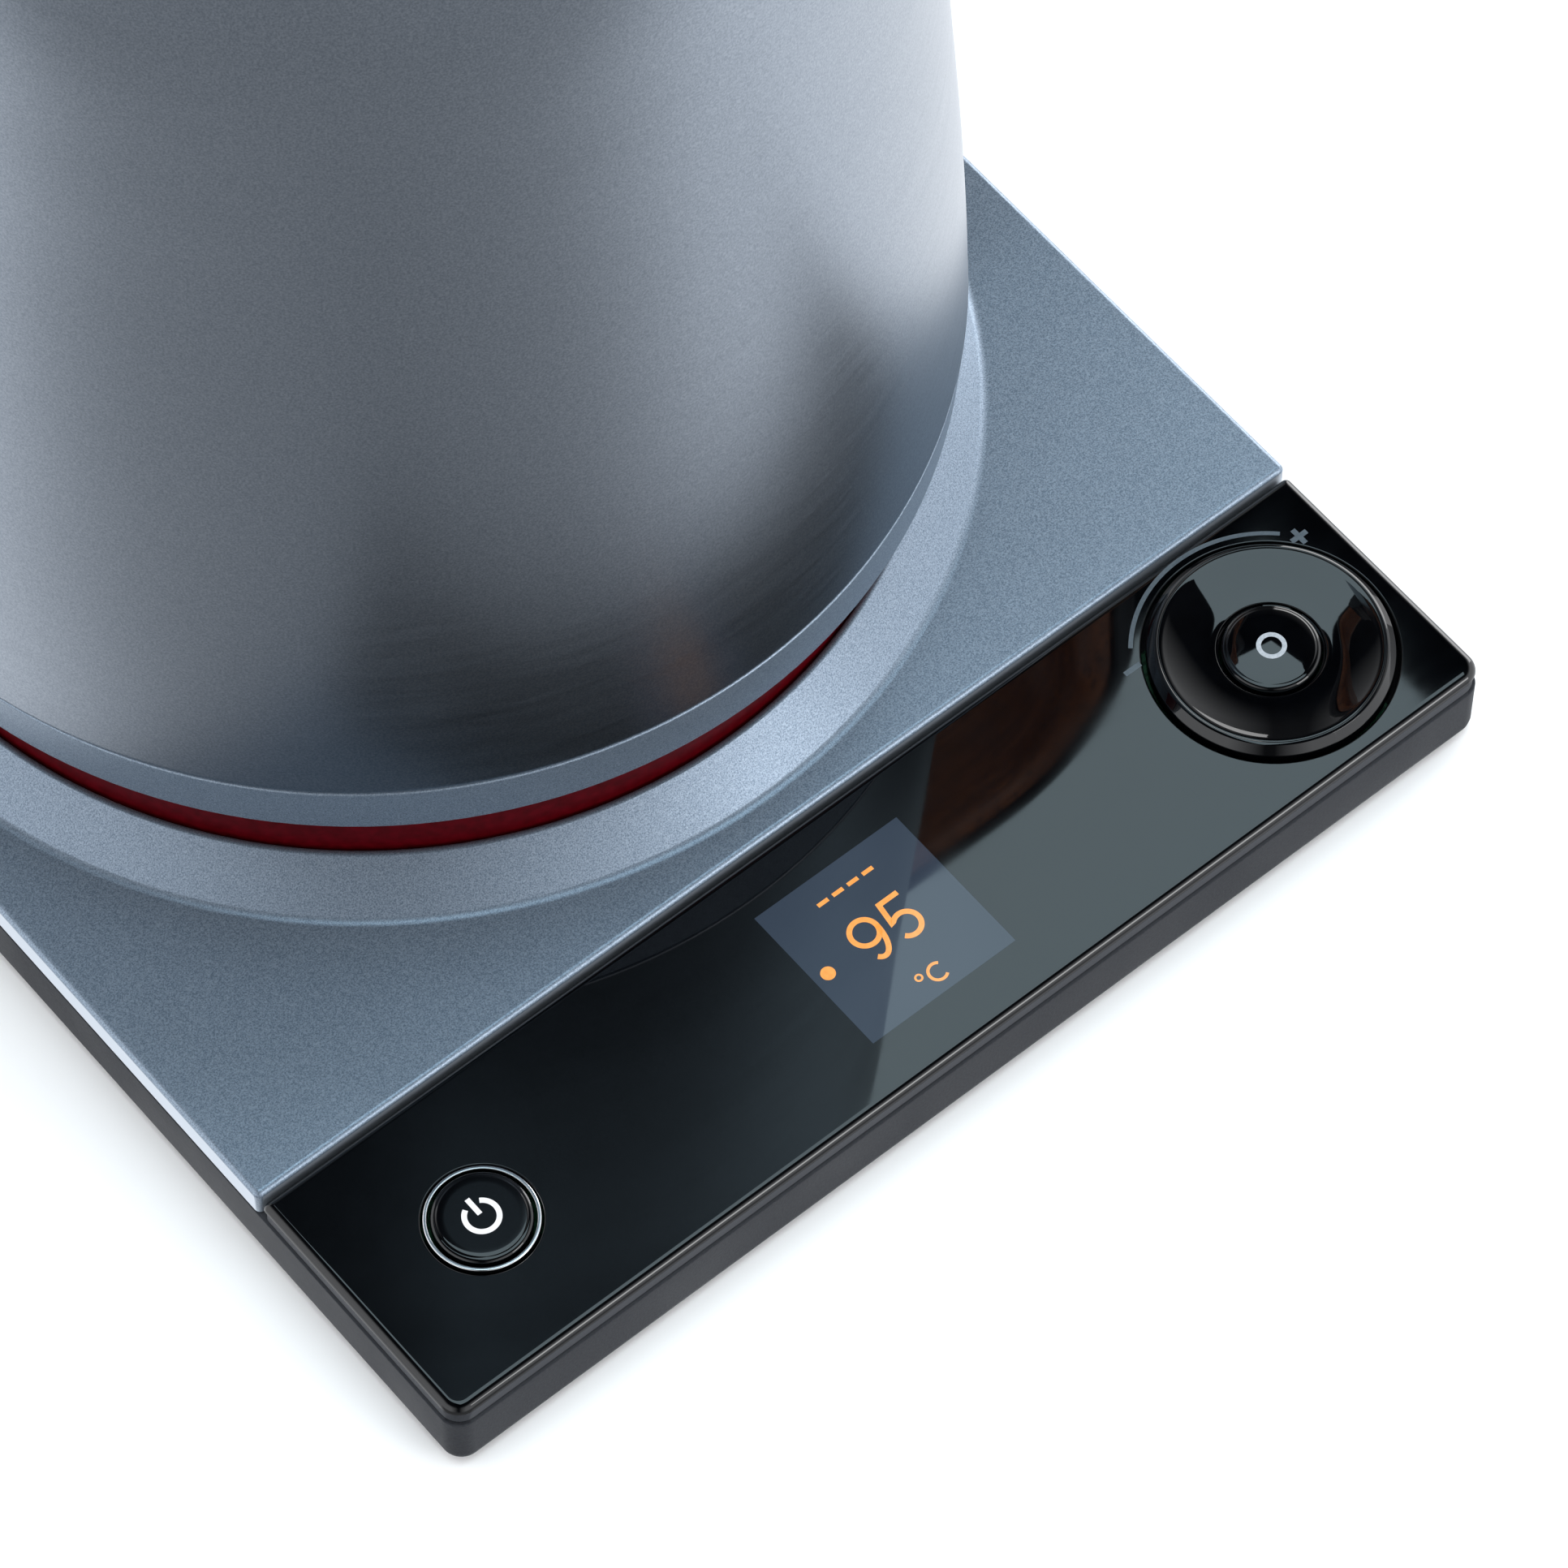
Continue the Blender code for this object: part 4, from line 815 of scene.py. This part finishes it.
def foot():
    """Dark ring under the steel wall, and the kettle's bottom with its well over the seat ring."""
    low, high = heights_of("foot_ring")
    inner, top_r = 73.6 * MM, body_radius(high + SEAM)
    fine(lathe("foot_ring_fine", filleted([
        (inner, low + 0.4 * MM, 0.1 * MM), (76.2 * MM, low, 0.5 * MM), (76.62 * MM, low + 0.5 * MM, 0.5 * MM),
        (top_r - 0.05 * MM, high, 0.35 * MM), (inner, high, 0)], 5), AXIS), "foot_ring", angle=40)
    flat_z, well_z, inside_z, rim_r, rim_z = 32.0 * MM, 27.3 * MM, 34.0 * MM, 73.3 * MM, 36.0 * MM
    fine(lathe("bottom_cover_fine", filleted([
        (16.0 * MM, flat_z, 0.5 * MM), (66.4 * MM, flat_z, 0.8 * MM), (67.2 * MM, well_z, 0.5 * MM),
        (71.2 * MM, well_z, 0.5 * MM), (72.8 * MM, flat_z, 0.3 * MM), (rim_r, 34.5 * MM, 0.2 * MM),
        (rim_r, rim_z, 0), (69.0 * MM, rim_z, 0), (68.0 * MM, inside_z, 0.4 * MM),
        (16.0 * MM, inside_z, 0)], 5), AXIS), "bottom_cover")


def shell():
    """Steel wall with a fine rolled lower edge, its pouring notch and the bracket's screw holes."""
    low, high = heights_of("kettle_shell")
    wall, lip = 1.2 * MM, 0.35 * MM
    outside = [(body_radius(low) - lip, low), (body_radius(low) - lip * 0.3, low + lip * 0.3),
               (body_radius(low + lip), low + lip), *body_outline(low + 2 * lip, high - 0.6 * lip, 0, 60),
               (body_radius(high) - 0.3 * lip, high)]
    inside = [*body_outline(low, high - 0.6 * lip, wall, 30), (body_radius(high) - wall, high)]
    made = lathe("kettle_shell_fine", outside + inside[::-1], AXIS)
    screw = [centre_of(f"handle_screw_{i}") for i in (1, 2)]
    ways = [rod("way", (AXIS.x + 0.060, at.y, at.z), (AXIS.x + 0.0832, at.y, at.z), 1.5 * MM)
            for at in screw]
    combine(made, [trough("notch", -SPOUT_WALL, MOUTH_CUT_TOP), *ways])
    return fine(made, "kettle_shell")


def trough(name, grow, top):
    """The spout's body: a trough with a round nose under a flat top; grow swells it all round."""
    steps, across, edge = 24, 28, 2.2 * MM
    sections = []
    for i in range(steps + 1):
        share = math.sin(math.pi / 2 * i / steps) ** 0.8
        reach = SPOUT_ROOT + (SPOUT_REACH + grow - SPOUT_ROOT) * share
        half = 19.5 * MM * math.sqrt(max(1 - share ** 2.4, 0)) + edge + grow
        deep = 50 * MM * (1 - share) + 7.0 * MM * math.sqrt(max(1 - share ** 8, 0)) + edge + grow
        turns = [math.pi * k / across for k in range(across + 1)]
        sections.append([from_axis(-reach, half * math.cos(t), top - deep * math.sin(t) ** 0.85)
                         for t in turns])
    return loft(name, sections)


def envelope(name, by, z0, z1):
    """All the room inside the body's outline between two heights."""
    return lathe(name, [*body_outline(z0, z1, by, 30), (0, z1), (0, z0)], AXIS)


def spout():
    """Open spout with a softened lip, its root cut to the body's outline."""
    lip = top_of("spout")
    made = trough("spout_fine", 0, lip)
    combine(made, [envelope("root", -SEAM, 0.10, 0.20), trough("channel", -SPOUT_WALL, lip + 0.8 * MM)])
    edge = made.modifiers.new("soft_lip", "BEVEL")
    edge.width, edge.segments = 0.3 * MM, 3
    edge.limit_method, edge.angle_limit = "ANGLE", math.radians(40)
    return fine(made, "spout")


def collar():
    """Ring around the mouth, in line with the body, with the spout's notch."""
    low, high = heights_of("lid_collar")
    shell_top = top_of("kettle_shell")
    spigot = body_radius(shell_top) - 1.2 * MM - SEAM
    band = body_outline(shell_top + SEAM, high - 0.3 * MM, 0, 4)
    made = lathe("lid_collar_fine", [
        (MOUTH_R, low), (spigot, low), (spigot, shell_top + SEAM), (band[0][0] - 0.15 * MM, band[0][1]),
        *band[1:], (band[-1][0] - 0.3 * MM, high), (MOUTH_R + 0.3 * MM, high), (MOUTH_R, high - 0.3 * MM)],
        AXIS)
    return fine(combine(made, [trough("notch", -SPOUT_WALL, MOUTH_CUT_TOP)]), "lid_collar")


def box_cut(name, x, y, z0, size):
    """A plain upright cutter or block whose middle is at (x, y) from the kettle's axis."""
    at = from_axis(x, y)
    return loft(name, [[(at.x + sx * size[0] / 2, at.y + sy * size[1] / 2, z)
                        for sx, sy in ((-1, -1), (1, -1), (1, 1), (-1, 1))] for z in (z0, z0 + size[2])])


def dome(z0, z1):
    """Outside of the dome from its rim to its crown, closely spaced where it turns over."""
    heights = [z0 + (z1 - z0) * math.sin(math.pi / 2 * i / DOME_ROWS) for i in range(DOME_ROWS + 1)]
    return [(dome_radius(z), z) for z in heights]


def dome_radius(z):
    """Radius of the domed top at height z, meeting the body at the collar."""
    low, top = heights_of("lid_cover")
    share = min(max((z - low) / (top - low), 0), 1)
    return body_radius(low) * max(1 - share ** 2.05, 0) ** 0.5 * (1 - 0.055 * share * (1 - share) * 4)


def lid():
    """Domed lid, cut off square in front of the hinge housing, with its knuckle and latch keeper."""
    low, high = heights_of("lid_cover")
    side, roof = 1.8 * MM, 1.6 * MM
    outside = dome(low, high)
    outside[0] = (outside[0][0] - 0.25 * MM, low)
    outside.insert(1, (body_radius(low + 0.3 * MM), low + 0.3 * MM))
    outside[-1] = (0, high)
    inside = [(max(r - side, 0), z - roof) for r, z in outside if z - roof > low]
    inside[-1] = (0, high - roof)
    made = lathe("lid_cover_fine", [*outside, *inside[::-1], (inside[0][0], low)], AXIS)
    combine(made, [box_cut("behind", LID_CUT_X + 0.03, 0, 0.19, (0.06, 0.16, 0.06))])
    wall = box_cut("wall", LID_CUT_X - 0.8 * MM, 0, low, (2.2 * MM, 84 * MM, 11 * MM))
    knuckle = cross_rod("knuckle", 8.8 * MM, 4.0 * MM, 40)
    strap = box_cut("strap", (LID_CUT_X + PIVOT_X) / 2 - 2 * MM, 0, PIVOT_Z - 3.6 * MM,
                    (13.5 * MM, 15 * MM, 5.2 * MM))
    combine(made, [wall, knuckle, strap], "UNION")
    pin = cross_rod("pin", 12 * MM, 1.9 * MM, 24)
    keeper = box_cut("keeper", LID_CUT_X, 0, LATCH_Z - 2.2 * MM, (6 * MM, 7.4 * MM, 4.4 * MM))
    return fine(combine(made, [pin, keeper]), "lid_cover", angle=32)


def root(low):
    """Gusset that carries the handle, tall over the hinge and tapering up to the grip."""
    top, small, large, steps = top_of("handle_cover"), 1.2 * MM, 3.0 * MM, 6
    # Distance from the axis and half width, both in millimetres, and the height of the underside.
    stations = ((53.2, 13.0, low), (68.0, 12.2, low + 1.0 * MM), (74.0, 10.8, low + 10.5 * MM),
                (78.2, 10.0, top - GRIP_T))
    sections = []
    for i in range((len(stations) - 1) * steps + 1):
        k = min(i // steps, len(stations) - 2)
        t = i / steps - k
        ease = t * t * (3 - 2 * t)
        (x0, h0, f0), (x1, h1, f1) = stations[k], stations[k + 1]
        x, half, foot_z = x0 + (x1 - x0) * t, h0 + (h1 - h0) * ease, f0 + (f1 - f0) * ease
        ring = rounded_rect((-half * MM, half * MM, foot_z, top), [small, small, large, large], 0, 8)
        sections.append([from_axis(x * MM, y, z) for y, z, _ in ring])
    return loft("root", sections)


def housing():
    """Rear part of the dome with the handle's gusset, the hinge's room and the button's opening."""
    low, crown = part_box("hinge_housing")[0].z, top_of("lid_cover")
    outside = dome(low, crown)
    outside[-1] = (0, crown)
    made = lathe("hinge_housing_fine", [*outside, (0, low)], AXIS)
    combine(made, [box_cut("before", LID_CUT_X + 1 * MM - 0.08, 0, 0.18, (0.16, 0.16, 0.06))])
    combine(made, [root(low + 1.1 * MM), cross_rod("cheeks", 12.7 * MM, 4.7 * MM, 48)], "UNION")
    room = cross_rod("room", 9.2 * MM, 4.6 * MM, 48)
    strap = box_cut("strap", PIVOT_X - 4 * MM, 0, PIVOT_Z - 5 * MM, (13 * MM, 18.6 * MM, 20 * MM))
    pin = cross_rod("pin", 15 * MM, 1.8 * MM, 24)
    bolt = box_cut("bolt", 51 * MM, 0, LATCH_Z - 2.1 * MM, (30 * MM, 7 * MM, 4.2 * MM))
    button = centre_of("lid_release").x - AXIS.x
    way = box_cut("way", button, 0, 0.2051, (13 * MM, 15 * MM, 30 * MM))
    return fine(combine(made, [room, strap, pin, bolt, way]), "hinge_housing", angle=32)


def handle_path():
    """(point, turn) frames down the middle of the grip: out, round a bend, down, round and back."""
    top_z = top_of("handle_cover") - GRIP_T / 2
    out_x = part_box("handle_cover")[1].x - AXIS.x - GRIP_T / 2
    foot_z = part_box("handle_cover")[0].z + GRIP_T / 2 + FOOT_DROP
    bend, foot_bend, lean, steps = 22 * MM, 18 * MM, 6 * MM, 20
    start_x, end_x, top_turn, foot_turn = 78.6 * MM, 83.5 * MM, 95, 80
    frames = [((start_x, top_z), 0.0)]
    for i in range(steps + 1):
        turn = math.radians(top_turn * i / steps)
        frames.append(((out_x - bend + bend * math.sin(turn), top_z - bend + bend * math.cos(turn)), turn))
    foot_x = out_x - lean - foot_bend
    for i in range(steps + 1):
        turn = math.radians(top_turn + foot_turn * i / steps)
        frames.append(((foot_x + foot_bend * math.sin(turn),
                        foot_z + foot_bend + foot_bend * math.cos(turn)), turn))
    (x, z), turn = frames[-1]
    run = (x - end_x) / -math.cos(turn)
    return frames + [((x + run * math.cos(turn), z - run * math.sin(turn)), turn)]


def grip_section(low, high, half, corner, point, turn):
    """Bar section across the path, rounded outward; low and high measure across it."""
    section = []
    small, steps = 0.7 * MM, 7
    for cy, ct, r, start in ((half - corner, high - corner, corner, 0),
                             (-half + corner, high - corner, corner, 90),
                             (-half + small, low + small, small, 180),
                             (half - small, low + small, small, 270)):
        for k in range(steps + 1):
            angle = math.radians(start + 90 * k / steps)
            across = ct + r * math.sin(angle)
            section.append(from_axis(point[0] + across * math.sin(turn), cy + r * math.cos(angle),
                                     point[1] + across * math.cos(turn)))
    return section


def handle():
    """The handle's two layers along one path: the dark cover outside and the brown grip inside."""
    frames = handle_path()
    layers = (("handle_cover", 0.2, 10.0, 4.6, 0.0), ("handle_grip", 0.1, 9.4, 4.8, math.pi))
    for node, gap, half, corner, flip in layers:
        bar = loft(f"{node}_fine", [grip_section(gap * MM, GRIP_T / 2, half * MM, corner * MM, p, t + flip)
                                    for p, t in frames])
        fine(bar, node)


def spring():
    """The release button's spring: a fixed coil of wire that fills the CAD spring's box."""
    low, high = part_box("release_spring")
    wire, turns, steps = 0.4 * MM, 3, 26
    middle, radius = (low + high) / 2, (high.x - low.x) / 2 - wire
    foot_z, rise = low.z + wire, high.z - low.z - 2 * wire
    around = [2 * math.pi * k / 10 for k in range(10)]
    sections = []
    for i in range(turns * steps + 1):
        turn = 2 * math.pi * i / steps
        sections.append([(middle.x + (radius + wire * math.cos(a)) * math.cos(turn),
                          middle.y + (radius + wire * math.cos(a)) * math.sin(turn),
                          foot_z + rise * i / (turns * steps) + wire * math.sin(a)) for a in around])
    made = loft("release_spring_fine", sections)
    smooth(made, 50)
    paint(made, FINISH[SLOT_OF["release_spring"]])
    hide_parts("release_spring")
    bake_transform(made)
    return made


def smooth_cad(node):
    """A CAD node that stays as it is gets its finish and slightly rounded edges."""
    obj = frame["nodes"][node]
    paint(obj, FINISH[SLOT_OF[node]])
    edge = obj.modifiers.new("soft_edges", "BEVEL")
    edge.width, edge.segments = 0.15 * MM, 2
    edge.limit_method, edge.angle_limit = "ANGLE", math.radians(35)


# --- studio ---------------------------------------------------------------
RIGHT_WARDS = (0.766, -0.643, 0.0)    # level direction to the right, seen from the front
WALL_MIDDLE_SIDES = (0.08, 1.8)       # brightness of the room's walls, before and beside the object
TABLE_FRONT_BACK = (0.48, 1.70)       # brightness from below the horizon, in front and behind
SKY_DIM = 0.02                        # what is left of the walls' brightness overhead


def plain(name, colour, roughness):
    """An even matt material."""
    made = bpy.data.materials.new(name)
    made.use_nodes = True
    shader = made.node_tree.nodes["Principled BSDF"]
    shader.inputs["Base Color"].default_value = (*colour, 1)
    shader.inputs["Roughness"].default_value = roughness
    shader.inputs["Specular IOR Level"].default_value = 0.2
    return made


def softbox(name, at, towards, size, radiance, colour=(1, 1, 1)):
    """A soft light of this radiance, whatever its size."""
    data = bpy.data.lights.new(name, "AREA")
    data.shape = "RECTANGLE"
    data.size, data.size_y = size
    data.energy = radiance * math.pi * size[0] * size[1]
    data.color = colour
    made = bpy.data.objects.new(name, data)
    made.location = at
    made.rotation_euler = (Vector(towards) - Vector(at)).to_track_quat("-Z", "Y").to_euler()
    made.visible_camera = False
    bpy.context.scene.collection.objects.link(made)
    return made


def math_node(tree, operation, a, b):
    """A math node's output; a and b are each a number or a socket."""
    node = tree.nodes.new("ShaderNodeMath")
    node.operation = operation
    for socket, value in zip(node.inputs, (a, b)):
        if isinstance(value, (int, float)):
            socket.default_value = value
        else:
            tree.links.new(value, socket)
    return node.outputs[0]


def surroundings():
    """Room light: dark in front of the object and overhead, bright behind it and at its sides."""
    world = bpy.data.worlds.new("studio")
    bpy.context.scene.world = world
    world.use_nodes = True
    tree = world.node_tree
    place = tree.nodes.new("ShaderNodeTexCoord").outputs["Generated"]

    def along(direction):
        node = tree.nodes.new("ShaderNodeVectorMath")
        node.operation = "DOT_PRODUCT"
        node.inputs[1].default_value = direction
        tree.links.new(place, node.inputs[0])
        return node.outputs["Value"]

    backwards = along((-RIGHT_WARDS[1], RIGHT_WARDS[0], 0))
    sideways = along(RIGHT_WARDS)
    split = tree.nodes.new("ShaderNodeSeparateXYZ")
    tree.links.new(place, split.inputs["Vector"])
    height = split.outputs["Z"]
    walls = ranged(tree, math_node(tree, "ABSOLUTE", sideways, 0), 0.06, 0.50, *WALL_MIDDLE_SIDES)
    table = ranged(tree, backwards, -0.49, -0.18, *TABLE_FRONT_BACK)
    upper = math_node(tree, "MULTIPLY", walls, ranged(tree, height, 0.55, 0.78, 1.0, SKY_DIM))
    lower = math_node(tree, "MULTIPLY", table, ranged(tree, height, -0.30, 0.0, 1.0, 0.0))
    seen = math_node(tree, "MULTIPLY", upper, ranged(tree, height, -0.30, 0.0, 0.0, 1.0))
    tree.links.new(math_node(tree, "ADD", seen, lower), tree.nodes["Background"].inputs["Strength"])
    tree.nodes["Background"].inputs["Color"].default_value = (0.95, 0.97, 1.0, 1)


def studio():
    """White floor, room light, soft boxes and the camera."""
    bpy.ops.mesh.primitive_circle_add(vertices=96, radius=9, fill_type="NGON", location=(0, 0, 0))
    floor = bpy.context.object
    floor.name = "floor"
    floor.data.materials.append(plain("floor_pale", (0.90, 0.90, 0.90), 0.7))
    floor.visible_glossy = False
    surroundings()
    softbox("overhead", (0.165, 0.035, 1.10), (0.165, 0.035, 0), (0.79, 0.76), 2.7, (0.78, 1.0, 1.10))
    softbox("right_side", (1.2, 0.45, 0.35), (0, 0, 0.10), (0.9, 0.7), 4.5)
    softbox("front_edge", (0.46, -1.17, 0.45), (0, 0, 0), (0.50, 0.30), 7.0)
    ceiling = softbox("ceiling", (0, 0, 3.0), (0, 0, 0), (4.0, 4.0), 1.9)
    ceiling.visible_glossy = False

    data = bpy.data.cameras.new("camera")
    data.sensor_width = 36
    data.lens = 184.2
    camera = bpy.data.objects.new("camera", data)
    bpy.context.scene.collection.objects.link(camera)
    camera.location = (-0.35104, -0.46710, 0.89515)
    aim = Vector((-0.01503, -0.06046, 0.0155))
    camera.rotation_mode = "QUATERNION"
    camera.rotation_quaternion = (aim - camera.location).to_track_quat("-Z", "Y")
    data.clip_start, data.clip_end = 0.05, 50
    bpy.context.scene.camera = camera
    bpy.context.scene.view_settings.view_transform = "Standard"


tray()
cover()
panel()
display()
panel_prints()
controls()
seat()
foot()
shell()
spout()
collar()
lid()
housing()
handle()
spring()
for node, obj in frame["nodes"].items():
    if not obj.hide_render:
        smooth_cad(node)
studio()
